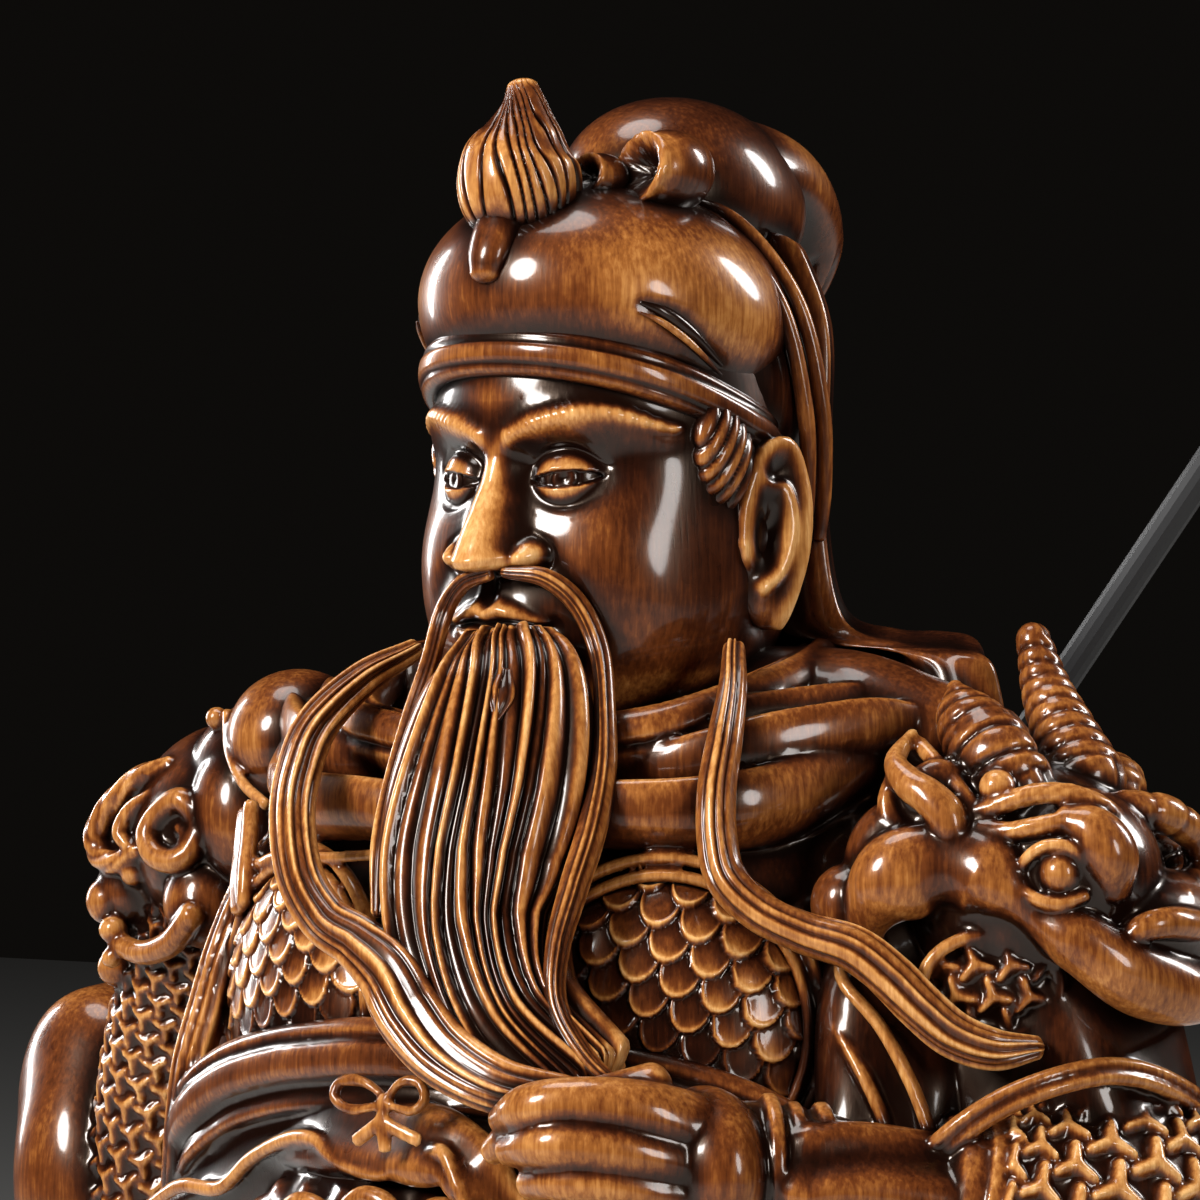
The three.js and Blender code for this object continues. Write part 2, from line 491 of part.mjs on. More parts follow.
// The left arm comes forward to the beard, and its hand strokes the ends.
function leftArmForms() {
  const sleeve = [[84, -13, 238, 11, 13], [76, -20, 222, 10, 15], [73, -22, 200, 10, 18],
    [73, -22, 178, 12, 21],
    [74, -22, 158, 12, 23]];
  const fingers = [
    [[38, -61, 258, 3.4, 3.4], [29, -66, 259, 3.4, 3.2], [20, -67, 257.5, 3.2, 3],
      [14, -63, 255, 2.4, 2.4]],
    [[38, -62, 252, 3.4, 3.4], [29, -67, 252, 3.4, 3.2], [20, -67, 250.5, 3.2, 3],
      [15, -62, 249, 2.4, 2.4]],
    [[39, -61, 246, 3.2, 3.2], [30, -66, 245.5, 3.2, 3], [22, -65, 244, 3, 2.8],
      [17, -60, 243.5, 2.2, 2.2]],
    [[39, -59, 240.5, 2.8, 2.8], [32, -63, 239.5, 2.8, 2.6], [25, -62, 238, 2.6, 2.4],
      [21, -58, 239, 2, 2]],
    [[47, -53, 259, 4.4, 4], [37, -60, 262, 3.8, 3.4], [27, -64.5, 262.5, 3.4, 3],
      [17, -65, 261, 2.6, 2.4]],
  ];
  const folded = { sides: 24, steps: 10, ridges: 7, ridge: 0.1, round: 0 };
  const forms = [
    sweep([[68, -1, 296, 20, 21], [80, -5, 268, 20, 21], [88, -8, 248, 18, 19], [90, -9, 236, 14, 15]], {
      side: [1, 0, 0], sides: 16, steps: 8,
    }),
    sweep([[91, -8, 240, 14, 14], [78, -26, 246, 13, 12], [64, -40, 252, 10.5, 9.5]], {
      side: [0, 0, 1], steps: 6, sides: 14,
    }),
    sweep([[66, -38, 251, 9, 8.5], [55, -48, 254.5, 8.4, 7.6]], { side: [0, 0, 1], steps: 2, sides: 12 }),
    ball([46, -54, 252], [13, 8, 12.5], { turn: [0, 0, -28], sides: 16, rings: 10 }),
    sweep(sleeve, folded),
    sweep([[70, -34, 251, 3, 3], [79, -33.5, 260, 3.4, 3.4], [88, -28, 267, 3.4, 3.4],
      [98, -14, 268, 3.4, 3.4],
      [101, 4, 265, 3, 3]], { steps: 8, sides: 6 }),
  ];
  for (const x of [0, 6]) {
    forms.push(sweep([[62.5 - x, -42 - x * 0.8, 252.4, 11, 10], [60.6 - x, -43.6 - x * 0.8, 253, 11, 10]], {
      side: [0, 0, 1], steps: 1, sides: 14, round: 0.2,
    })); // rings of the cuff
  }
  return forms.concat(fingers.map((finger) => sweep(finger, { side: [0, 0, 1], sides: 8, steps: 6 })));
}

// The right arm hangs in a full sleeve and reaches behind the back, where the fist holds the shaft.
function rightArmForms() {
  const forms = [
    sweep([[-68, 1, 290, 17, 19], [-80, 6, 266, 17, 20], [-92, 13, 240, 17, 20]], { sides: 16, steps: 6 }),
    ball([-96, 15, 237], [21, 25, 34], { turn: [0, -12, 0], sides: 20, rings: 14, relief: (p) => {
      return 1.6 * Math.cos(0.5 * p.y + 0.16 * p.z);
    } }),
    sweep([[-100, 17, 228, 19, 18], [-88, 32, 208, 15, 14], [-68, 41, 194, 10, 10]],
      { steps: 6, sides: 14 }),
    sweep([[-99, 18, 222, 14, 16], [-95, 24, 200, 11, 17], [-92, 26, 178, 10, 20], [-90, 27, 158, 10, 22]],
      {
      sides: 24, steps: 8, ridges: 7, ridge: 0.1, round: 0,
    }),
    sweep([[-68, 41, 194, 8.6, 8.6], [-54, 44, 189, 8, 8]], { steps: 2, sides: 12 }),
    sweep([[-69, 40.5, 194, 11, 11], [-66.5, 41, 193, 11, 11]], { steps: 1, sides: 14, round: 0.2 }),
    ball(gripPoint, [10, 10.5, 10], { turn: [0, -35, 0], sides: 16, rings: 10 }),
  ];
  for (let k = 0; k < 4; k++) {
    const [x, z] = [-52 + 3.5 * k, 179 + 4.9 * k];
    forms.push(sweep([[x - 1, 54, z + 1, 2.6, 2.8], [x + 6, 49.5, z - 4, 2.6, 2.8],
      [x + 7.5, 41, z - 5.4, 2.6, 2.8],
      [x + 4, 36, z - 3, 2.2, 2.4]], { side: [0.58, 0, 0.81], steps: 6, sides: 6 }));
  }
  return forms;
}

// The robe, the coat skirts and the cloak over it, the thigh guards, apron and sash, the boots.
function skirtForms() {
  const robe = [[27, 2, 0, 70, 50, 48], [48, 2, 0, 66, 48, 46], [90, 1, 0, 62, 47, 42],
    [140, 0, 0, 60, 46, 38],
    [190, 0, 0, 57, 45, 36], [222, 0, 0, 56, 44, 35]];
  const cloak = [[20, 8, 6, 82, 40, 56], [50, 6, 5, 77, 40, 50], [110, 3, 3, 71, 40, 40],
    [170, 1, 1, 68, 38, 36],
    [230, 0, 0, 66, 36, 36.5], [276, 0, 0, 62, 34, 37], [300, 0, 0, 58, 30, 37], [316, 0, 1, 50, 24, 34]];
  const apron = [[64, 3, 0, 64, 57, 40], [120, 1, 0, 62, 55.5, 40], [180, 0, 0, 60, 54, 40],
    [226, 0, 0, 60, 53, 40]];
  const guard = [[112, 0, 0, 73, 59, 50], [150, 0, 0, 70, 57, 46], [190, 0, 0, 67, 55, 42],
    [236, 0, 0, 63, 52, 40]];
  const pleats = (count, deep) => (angle, t) => {
    return deep * (1 - 0.75 * t) * (Math.cos(count * angle + 2 * t) + 0.4 * Math.cos(2.2 * count * angle));
  };
  const cloakFold = (share, t) => 4.4 * (1 - t) * Math.cos(share * 38 + 3 * t) - 1.2 * t;
  const apronDrop = (share) => 16 * Math.sin(Math.PI * share);
  const hemOf = (levels, from, to, drop) => {
    return Array.from({ length: 9 }, (_, k) => {
      const point = levelPoint(levels, 0, radians(from + ((to - from) * k) / 8), 1);
      return [point.x, point.y, point.z - drop(k / 8) + 3, 3.4, 2.4];
    });
  };
  const forms = [
    stack(robe, { sides: 84, steps: 8, relief: pleats(14, 3) }),
    wrap(cloak, -4, 184, 6, { cells: 48, steps: 16, relief: cloakFold,
      drop: (share) => 5 * Math.cos(share * 19) }),
    wrap(apron, -112, -68, 5, { cells: 10, steps: 6, drop: apronDrop }),
    sweep(hemOf(apron, -112, -68, apronDrop), { side: [0, 0, 1], steps: 16, sides: 6 }),
    ball([1, -59, 150], [13, 4.4, 13], { sides: 12, rings: 8 }), // the apron's boss
    ball([0, 2, 24], [52, 38, 20], { sides: 16, rings: 8 }), // the legs under the hem
    // knot
    sweep([[2, -58, 212, 9, 5], [4, -62, 206, 10, 6], [6, -58, 199, 8, 5]], { steps: 4, sides: 10 }),
  ];
  for (const s of [-1, 1]) {
    const [from, to] = s > 0 ? [-64, 2] : [-182, -116];
    const edge = (share) => 16 * Math.sin(Math.PI * share) + 2.4 * Math.cos(share * 40);
    const boot = [[28, 4, 34, 12, 18], [27, -12, 28, 12, 14], [29, -34, 21, 11, 8],
      [31, -56, 19.5, 9.5, 6.5],
      [32, -66, 23, 6, 5]];
    const tail = s > 0
      ? [[9, -62, 204, 5, 2.2], [17, -65, 176, 7, 2.2], [14, -67, 140, 8, 2.2], [24, -68, 104, 10, 2.2]]
      : [[0, -62, 204, 5, 2.2], [-3, -66, 172, 7, 2.2], [3, -66, 140, 8, 2.2], [-4, -68, 112, 9, 2.2]];
    const loop = [[3, -63, 206, 3.4, 2.4], [14, -66, 213, 5, 2.6], [24, -61, 208, 5, 2.6],
      [15, -64, 201, 4, 2.6],
      [4, -63, 204, 3, 2.4]];
    forms.push(
      wrap(guard, from, to, 5, { cells: 20, steps: 8, drop: edge }),
      sweep(hemOf(guard, from, to, edge), { side: [0, 0, 1], steps: 20, sides: 6 }),
      sweep(mirror(s, boot), { sides: 14, steps: 10, square: 2.4 }),
      sweep(tail, { sides: 10, steps: 8, ridges: 3, ridge: 0.1 }),
      sweep(mirror(s, loop).map(([x, ...rest]) => [x + 4, ...rest]), { side: [0, 0.3, 1],
        steps: 8, sides: 8 }),
    );
  }
  return forms;
}

// The rock, in rough steps, flat underneath.
function makeRock() {
  const rock = [[0, 0, 0, 89, 70, 64], [6, 0, 0, 88, 69, 63], [9, 0, 0, 82, 64, 58], [16, 0, 0, 78, 60, 55],
    [19, 0, 0, 66, 50, 46]];
  const rough = (angle, t) => {
    const crags = 2.2 * Math.sin(5 * angle + 1) + 1.6 * Math.sin(9 * angle + 5 * t);
    return crags + 1.4 * Math.sin(14 * angle + 2);
  };
  return stack(rock, { sides: 36, steps: 4, relief: rough });
}

const grip = new THREE.Vector3(...gripPoint).multiplyScalar(part);
const shaftAlong = new THREE.Vector3(...shaftPass).multiplyScalar(part).sub(grip).normalize();
const shaftTurn = new THREE.Quaternion().setFromUnitVectors(new THREE.Vector3(0, 0, 1), shaftAlong);

// A round bar along Z, from one height to another.
function bar(radius, from, to) {
  const geometry = new THREE.CylinderGeometry(radius, radius, to - from, 14);
  return geometry.translate(0, (from + to) / 2, 0).rotateX(Math.PI / 2);
}

// A turned form about Z, from points [radius, height].
function turned(profile) {
  return new THREE.LatheGeometry(profile.map((p) => new THREE.Vector2(...p)), 14).rotateX(Math.PI / 2);
}

function makeFigure() {
  const placed = new THREE.Matrix4();
  const facing = new THREE.Quaternion().setFromEuler(new THREE.Euler(...headTurn.map(radians)));
  placed.compose(new THREE.Vector3(...headCentre), facing, new THREE.Vector3(1, 1, 1));
  const forms = headForms().concat(capForms()).map((form) => form.applyMatrix4(placed));
  forms.push(...drapeForms(), ...beardForms(), ...armourForms(), ...shoulderForms());
  forms.push(...rightShoulderForms(), ...leftArmForms(), ...rightArmForms(), ...skirtForms(), makeRock());
  const solids = forms.map((form) => solidOf(form.scale(part, part, part)));
  const joined = solids.reduce((whole, solid) => whole.add(solid));
  const largest = (solid) => solid.decompose().reduce((a, b) => (b.volume() > a.volume() ? b : a));
  const way = bar(shaftDiameter / 2 + gripClearance, -2 * shaftBelowGrip, 2 * shaftAboveGrip);
  way.applyQuaternion(shaftTurn).translate(...grip);
  const line = new THREE.Line3(grip.clone().sub(shaftAlong), grip.clone().add(shaftAlong));
  const care = (p) => {
    if (line.closestPointToPoint(p, false, new THREE.Vector3()).distanceTo(p) < shaftDiameter) return 200;
    return detail.find(([height]) => p.z >= height * part)[1];
  };
  return thinned(largest(joined.subtract(solidOf(way))), mostTriangles, care);
}

// The plinth: an oval slab with a moulded edge, from shares of its height and of the moulding's depth.
function makePlinth() {
  const profile = [[0, 0], [0.28, 0], [0.4, 1], [0.66, 1], [0.76, 0.45], [0.94, 0.45], [1, 0.8]];
  const oval = (value) => Math.sign(value) * Math.abs(value) ** (2 / plinthSquareness);
  const rings = profile.map(([rise, cut]) => {
    return Array.from({ length: 44 }, (_, k) => {
      const angle = (2 * Math.PI * k) / 44;
      const x = (plinthWidth / 2 - cut * plinthMoulding) * oval(Math.cos(angle));
      return new THREE.Vector3(x, (plinthDepth / 2 - cut * plinthMoulding) * oval(Math.sin(angle)),
        rise * plinthHeight);
    });
  });
  return skin(rings, [new THREE.Vector3(0, 0, 0), new THREE.Vector3(0, 0, plinthHeight)]);
}

// The shaft, turned in one with its butt spike.
function makeShaft() {
  const [radius, butt] = [shaftDiameter / 2, buttDiameter / 2];
  const top = (share) => shaftAboveGrip + share * buttSpike;
  return turned([[0, -shaftBelowGrip], [radius, -shaftBelowGrip], [radius, top(-0.3)],
    [butt * 0.8, top(-0.2)],
    [radius * 1.1, top(0)], [butt, top(0.2)], [butt * 0.7, top(0.5)], [0, top(1)]]);
}

// The blade: a broad crescent with a barb on its back, below a swelling socket bored for the shaft.
function makeBlade() {
  const at = (across, down) => [across * bladeWidth, -down * bladeLength];
  const outline = new THREE.Shape();
  outline.moveTo(...at(-0.12, -0.02));
  outline.lineTo(...at(0.12, -0.02));
  outline.quadraticCurveTo(...at(0.2, 0.06), ...at(0.5, 0.1));
  outline.quadraticCurveTo(...at(0.95, 0.5), ...at(0.1, 1));
  outline.quadraticCurveTo(...at(0.16, 0.78), ...at(-0.16, 0.6));
  outline.lineTo(...at(-0.44, 0.66));
  outline.lineTo(...at(-0.3, 0.5));
  outline.lineTo(...at(-0.42, 0.38));
  outline.quadraticCurveTo(...at(-0.16, 0.3), ...at(-0.12, -0.02));
  const third = bladeThickness / 3;
  const bevel = { bevelThickness: third, bevelSize: 0.9, bevelOffset: -0.9, bevelSegments: 1 };
  const plate = new THREE.ExtrudeGeometry(outline, { depth: third, curveSegments: 6, ...bevel });
  plate.translate(0, 0, -third / 2).rotateX(Math.PI / 2);
  const bore = shaftDiameter / 2 + socketClearance;
  const wall = bore + socketWall;
  const socket = turned([[0, -4], [bore, -4], [wall * 1.3, 0], [wall * 1.1, 3],
    [wall * 0.9, 0.55 * socketDepth],
    [wall, 0.8 * socketDepth], [wall * 1.15, socketDepth], [0, socketDepth]]);
  const blind = bar(bore, socketClearance, 2 * socketDepth);
  const blade = solidOf(plate).add(solidOf(socket)).subtract(solidOf(blind));
  return meshOf(blade).translate(0, 0, -shaftBelowGrip - 2 * socketClearance);
}

const finish = (color, roughness, metalness) => new THREE.MeshStandardMaterial({ color, roughness,
  metalness });
const stainedResin = finish(0x7a4420, 0.3, 0);
const blackLacquer = finish(0x14110f, 0.25, 0.1);
const darkSteel = finish(0x6b6660, 0.35, 0.9);

function named(name, geometry, material) {
  const mesh = new THREE.Mesh(geometry, material);
  mesh.name = name;
  return mesh;
}

const statue = new THREE.Group();
statue.add(named("plinth", makePlinth(), stainedResin));

const standing = new THREE.Group(); // what stands on the plinth
standing.position.z = plinthHeight + seatGap;
standing.add(named("figure", meshOf(makeFigure()), stainedResin));

const glaive = new THREE.Group();
glaive.position.copy(grip);
glaive.quaternion.copy(shaftTurn);
glaive.add(named("glaive_shaft", makeShaft(), blackLacquer));
glaive.add(named("glaive_blade", makeBlade(), darkSteel));
standing.add(glaive);
statue.add(standing);

export default statue;
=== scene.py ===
import math

import bpy
import numpy as np
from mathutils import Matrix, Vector


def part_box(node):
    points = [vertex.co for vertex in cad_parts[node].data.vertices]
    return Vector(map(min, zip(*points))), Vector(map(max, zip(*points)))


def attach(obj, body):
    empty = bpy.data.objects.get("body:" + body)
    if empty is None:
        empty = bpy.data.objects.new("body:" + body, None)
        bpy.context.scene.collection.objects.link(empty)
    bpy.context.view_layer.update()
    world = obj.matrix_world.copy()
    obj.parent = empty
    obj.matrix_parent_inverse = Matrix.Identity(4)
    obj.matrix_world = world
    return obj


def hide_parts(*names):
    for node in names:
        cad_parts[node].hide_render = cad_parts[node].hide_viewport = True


# A bearded general in scale armour, cast in resin and stained to look like carved and polished wood.
# The forms are set out in millimetres from the underside of the rock, facing -Y, and become metres when
# their mesh is made. Every form is a closed surface over a grid of points.
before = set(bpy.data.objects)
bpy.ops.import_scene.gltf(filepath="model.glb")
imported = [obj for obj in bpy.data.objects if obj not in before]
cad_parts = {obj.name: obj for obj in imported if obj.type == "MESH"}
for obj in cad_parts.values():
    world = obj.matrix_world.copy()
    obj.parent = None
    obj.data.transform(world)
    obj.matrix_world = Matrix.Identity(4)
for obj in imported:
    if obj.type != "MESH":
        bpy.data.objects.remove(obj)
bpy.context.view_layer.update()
lowestFigure = min(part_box("figure")[0][2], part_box("figure")[1][2]) * 1000
print("frame loaded, rock's underside at", round(lowestFigure, 1), "mm")

headPlace = {"centre": (3, -3, 349), "turn": (3, 0, -8)}
fineness = 1.0


# Surfaces over a grid of points
def turning(degrees):
    # the turn about Z, then Y, then X, as one matrix
    x, y, z = (math.radians(d) for d in degrees)
    aboutX = np.array([[1, 0, 0], [0, math.cos(x), -math.sin(x)], [0, math.sin(x), math.cos(x)]])
    aboutY = np.array([[math.cos(y), 0, math.sin(y)], [0, 1, 0], [-math.sin(y), 0, math.cos(y)]])
    aboutZ = np.array([[math.cos(z), -math.sin(z), 0], [math.sin(z), math.cos(z), 0], [0, 0, 1]])
    return aboutX @ aboutY @ aboutZ


def curveAt(stations, t, closed=False):
    # a smooth curve through all the stations: a cubic between each two, its slope at a station that of
    # the line between the stations on either side
    p = np.asarray(stations, float)
    count = len(p)
    spans = count if closed else count - 1
    at = np.clip(np.asarray(t, float) * spans, 0, spans - 1e-9)
    i = at.astype(int)
    f = (at - i)[..., None]
    if closed:
        a, b, c, d = (p[(i + k) % count] for k in (-1, 0, 1, 2))
    else:
        q = np.vstack([2 * p[:1] - p[1:2], p, 2 * p[-1:] - p[-2:-1]])
        a, b, c, d = (q[i + k] for k in (0, 1, 2, 3))
    return b + 0.5 * f * (c - a + f * (2 * a - 5 * b + 4 * c - d + f * (3 * (b - c) + d - a)))


def unit(v):
    # each vector divided by its length
    return v / np.maximum(np.linalg.norm(v, axis=-1, keepdims=True), 1e-12)


def softened(values, width, axis, wrapped):
    # the mean over a window of points along one axis, three times over
    width = min(width | 1, 2 * (values.shape[axis] // 2) - 1)
    if width < 3:
        return values
    half = width // 2
    pad = [(0, 0)] * values.ndim
    pad[axis] = (half + 1, half)
    for _ in range(3):
        sums = np.cumsum(np.pad(values, pad, mode="wrap" if wrapped else "edge"), axis=axis)
        upper = np.take(sums, np.arange(width, sums.shape[axis]), axis=axis)
        lower = np.take(sums, np.arange(0, sums.shape[axis] - width), axis=axis)
        values = (upper - lower) / width
    return values


def shell(rings, ends=None, loop=False, tone=0.0, reach=1.1):
    # rings of points joined to a closed skin, with the points' height over the surface round them: their
    # distance along the normal from the same skin softened over reach millimetres
    rings = np.asarray(rings, float)
    rows, columns = rings.shape[:2]
    across = np.roll(rings, -1, 1) - np.roll(rings, 1, 1)
    if loop:
        along = np.roll(rings, -1, 0) - np.roll(rings, 1, 0)
    else:
        along = np.gradient(rings, axis=0)
    normal = unit(np.cross(across, along))
    stepAcross = np.median(np.linalg.norm(np.roll(rings, -1, 1) - rings, axis=2)) + 1e-6
    stepAlong = np.median(np.linalg.norm(np.diff(rings, axis=0), axis=2)) + 1e-6
    soft = softened(rings, int(2 * reach / stepAcross) + 1, 1, True)
    soft = softened(soft, int(2 * reach / stepAlong) + 1, 0, loop)
    height = np.sum((rings - soft) * normal, axis=2).ravel()
    spans = rows if loop else rows - 1
    r, c = np.meshgrid(np.arange(spans), np.arange(columns), indexing="ij")
    nextR, nextC = (r + 1) % rows, (c + 1) % columns
    quads = np.stack([r * columns + c, r * columns + nextC, nextR * columns + nextC, nextR * columns + c], -1)
    quads = quads.reshape(-1, 4)
    points = rings.reshape(-1, 3)
    fans = np.zeros((0, 3), int)
    if ends is not None:
        k = np.arange(columns)
        following = (k + 1) % columns
        start, last = rows * columns, (rows - 1) * columns
        first = np.stack([np.full(columns, start), following, k], -1)
        final = np.stack([np.full(columns, start + 1), last + k, last + following], -1)
        fans = np.concatenate([first, final])
        points = np.concatenate([points, np.asarray(ends, float)])
        height = np.append(height, [height[:columns].mean(), height[-columns:].mean()])
    # the volume under all its triangles is below nothing where the skin is inside out
    triangles = np.concatenate([quads[:, [0, 1, 2]], quads[:, [0, 2, 3]], fans])
    a, b, d = (points[triangles[:, k]] - points.mean(0) for k in range(3))
    if np.sum(np.cross(a, b) * d) < 0:
        quads, fans, height = quads[:, ::-1], fans[:, [0, 2, 1]], -height
    return {"points": points, "quads": quads, "fans": fans, "height": height, "tone": tone}


def moved(form, matrix=None, shift=(0, 0, 0)):
    # the form turned or stretched by a matrix and shifted, and turned right side out if that mirrors it
    points = form["points"] if matrix is None else form["points"] @ np.asarray(matrix).T
    form = dict(form, points=points + np.asarray(shift, float))
    if matrix is not None and np.linalg.det(matrix) < 0:
        form["quads"], form["fans"] = form["quads"][:, ::-1], form["fans"][:, [0, 2, 1]]
    return form


def tube(stations, side=(1, 0, 0), around=32, along=60, closed=False, roundness=0.8, square=2.0,
         relief=None, tone=0.0, reach=1.1, face=None, lean=0.0):
    # a profile carried along the smooth path of the stations [x, y, z, half width, half depth]: at the
    # angle a it lies at width cos a, depth sin a, the width laid along side or square to the way it faces,
    # where lean crowds the points. relief(t, a) stands out from it along its normal.
    around, along = max(8, int(around * fineness)), max(3, int(along * fineness))
    stations = np.asarray(stations, float)
    if closed:
        t = np.arange(along) / along
        shrink, push = np.ones(along), np.zeros(along)
    else:
        cap = 5
        bend = np.linspace(0, math.pi / 2, cap + 1)[1:]
        t = np.concatenate([np.zeros(cap), np.linspace(0, 1, along + 1), np.ones(cap)])
        shrink = np.concatenate([np.cos(bend)[::-1], np.ones(along + 1), np.cos(bend)])
        push = np.concatenate([-np.sin(bend)[::-1], np.zeros(along + 1), np.sin(bend)])
        shrink = np.maximum(shrink, 0.02)
        if roundness == 0:
            t, shrink, push = t[cap:-cap], shrink[cap:-cap], push[cap:-cap]
    at = curveAt(stations, t, closed)
    if closed:
        ahead = curveAt(stations, (t + 1e-3) % 1, True)
        behind = curveAt(stations, (t - 1e-3) % 1, True)
    else:
        ahead, behind = curveAt(stations, np.minimum(t + 1e-3, 1)), curveAt(stations, np.maximum(t - 1e-3, 0))
    way = unit(ahead[:, :3] - behind[:, :3])
    lay = np.asarray(side, float)
    wide = unit(lay - (way @ lay)[:, None] * way) if face is None else unit(np.cross(way, face))
    deep = np.cross(way, wide)
    halfWidth, halfDepth = np.maximum(at[:, 3], 0.05), np.maximum(at[:, 4], 0.05)
    centre = at[:, :3] + way * (push * roundness * np.minimum(halfWidth, halfDepth))[:, None]
    angle = 2 * math.pi * np.arange(around) / around
    angle = angle - lean * np.sin(angle - 1.5 * math.pi)
    c, s = np.cos(angle), np.sin(angle)
    bentC, bentS = np.sign(c) * np.abs(c) ** (2 / square), np.sign(s) * np.abs(s) ** (2 / square)
    u = wide[:, None] * bentC[None, :, None]
    v = deep[:, None] * bentS[None, :, None]
    profile = halfWidth[:, None, None] * u + halfDepth[:, None, None] * v
    rings = centre[:, None] + shrink[:, None, None] * profile
    if relief is not None:
        out = unit(wide[:, None] * c[None, :, None] * halfDepth[:, None, None]
                   + deep[:, None] * s[None, :, None] * halfWidth[:, None, None])
        rings = rings + out * (relief(t[:, None], angle[None, :]) * shrink[:, None])[:, :, None]
    if closed:
        return shell(rings, loop=True, tone=tone, reach=reach)
    return shell(rings, [centre[0], centre[-1]], tone=tone, reach=reach)


def ball(centre, radii, turn=(0, 0, 0), around=32, along=24, lean=0.0, relief=None, tone=0.0, reach=1.1):
    # an ellipsoid: x = a cos v cos u, y = b cos v sin u, z = c sin v. lean crowds the points towards -Y.
    # relief(p) stands out from the plain ellipsoid at its points p.
    around, along = max(8, int(around * fineness)), max(6, int(along * fineness))
    u = 2 * math.pi * np.arange(around) / around
    u = u - lean * np.sin(u - 1.5 * math.pi)
    v = np.linspace(-math.pi / 2, math.pi / 2, along + 1)[1:-1]
    out = np.stack([np.cos(v)[:, None] * np.cos(u), np.cos(v)[:, None] * np.sin(u),
                    np.sin(v)[:, None] * np.ones_like(u)], -1)
    points = out * np.asarray(radii, float)
    if relief is not None:
        points = points + out * relief(points)[:, :, None]
    ends = np.array([points[0].mean(0), points[-1].mean(0)])
    matrix = turning(turn)
    return shell(points @ matrix.T + centre, ends @ matrix.T + centre, tone=tone, reach=reach)


def levelPoints(levels, t, angle, grow=0.0):
    # a body of levels [z, middle x, middle y, half width, front depth, back depth], at t and the angle
    at = curveAt(levels, t)
    sine = np.sin(angle)
    depth = np.where(sine < 0, at[..., 4], at[..., 5])
    x = at[..., 1] + (at[..., 3] + grow) * np.cos(angle)
    y = at[..., 2] + (depth + grow) * sine
    return np.stack([x, y, at[..., 0] + 0 * x], -1)


def stack(levels, around=120, along=80, relief=None, tone=0.0, reach=1.1):
    # the body of those levels, closed flat at both ends, with relief(angle, t) standing out of it
    around, along = int(around * fineness), int(along * fineness)
    t = np.linspace(0, 1, along + 1)[:, None]
    angle = (2 * math.pi * np.arange(around) / around)[None, :]
    t, angle = np.broadcast_arrays(t, angle)
    grow = relief(angle, t) if relief is not None else 0.0
    rings = levelPoints(levels, t, angle, grow)
    ends = curveAt(levels, np.array([0.0, 1.0]))[:, [1, 2, 0]]
    return shell(rings, ends, tone=tone, reach=reach)


def wrap(levels, start, stop, thickness, across=80, along=60, relief=None, drop=None, tone=0.0, reach=1.4):
    # a sheet round a body of levels between two angles in degrees: one face outside, one inside by its
    # thickness, joined by rounded edges. relief(share, t) stands out, drop(share) lowers its bottom edge.
    across, along = int(across * fineness), int(along * fineness)
    edge = thickness / 2
    bend = np.linspace(0, 1, 5)[:-1] ** 1.5
    share = np.concatenate([bend * 0.02, np.linspace(0.02, 0.98, across), 1 - (bend * 0.02)[::-1]])
    t = np.concatenate([bend * 0.02, np.linspace(0.02, 0.98, along), 1 - (bend * 0.02)[::-1]])
    inS = np.clip(np.minimum(share, 1 - share) / 0.02, 0, 1)
    inT = np.clip(np.minimum(t, 1 - t) / 0.02, 0, 1)
    near = np.minimum(inS[None, :], inT[:, None])
    inset = edge * (1 - np.sqrt(1 - (1 - near) ** 2))
    s, tt = np.meshgrid(share, t)
    angle = np.radians(start + (stop - start) * s)
    grow = relief(s, tt) if relief is not None else 0.0 * s
    faces = []
    for into in (inset, thickness - inset):
        face = levelPoints(levels, tt, angle, grow - into)
        if drop is not None:
            face[..., 2] -= (1 - tt) * drop(s)
        faces.append(face)
    rings = np.concatenate([faces[0], faces[1][:, ::-1]], 1)
    return shell(rings, [rings[0].mean(0), rings[-1].mean(0)], tone=tone, reach=reach)


def ringRound(centre, across, upward, size, thick, along=48, around=12, relief=None, tone=0.0):
    # a closed cord on an ellipse: centre + size0 cos a across + size1 sin a upward
    angle = 2 * math.pi * np.arange(16) / 16
    across, upward = np.asarray(across, float), np.asarray(upward, float)
    path = np.asarray(centre, float) + np.cos(angle)[:, None] * size[0] * across
    path = path + np.sin(angle)[:, None] * size[1] * upward
    stations = np.column_stack([path, np.full(16, thick), np.full(16, thick)])
    return tube(stations, np.cross(across, upward), around, along, closed=True, relief=relief, tone=tone)


# Relief: heights that stand out of a surface
def mound(x, z, x0, z0, spreadX, spreadZ, height):
    # height e^-(((x - x0) / spreadX)^2 + ((z - z0) / spreadZ)^2)
    return height * np.exp(-(((x - x0) / spreadX) ** 2) - ((z - z0) / spreadZ) ** 2)


def nearest(points, path, fine=24):
    # the distance of each point from a smooth path, and the share of the path where it is nearest
    path = curveAt(path, np.linspace(0, 1, fine + 1))
    size = min(points.shape[-1], path.shape[-1])
    best = np.full(points.shape[:-1], 1e9)
    where = np.zeros(points.shape[:-1])
    for k in range(fine):
        start, line = path[k, :size], path[k + 1, :size] - path[k, :size]
        share = np.clip(((points - start) @ line) / max(line @ line, 1e-9), 0, 1)
        away = np.linalg.norm(points - start - share[..., None] * line, axis=-1)
        closer = away < best
        best = np.where(closer, away, best)
        where = np.where(closer, (k + share) / fine, where)
    return best, where


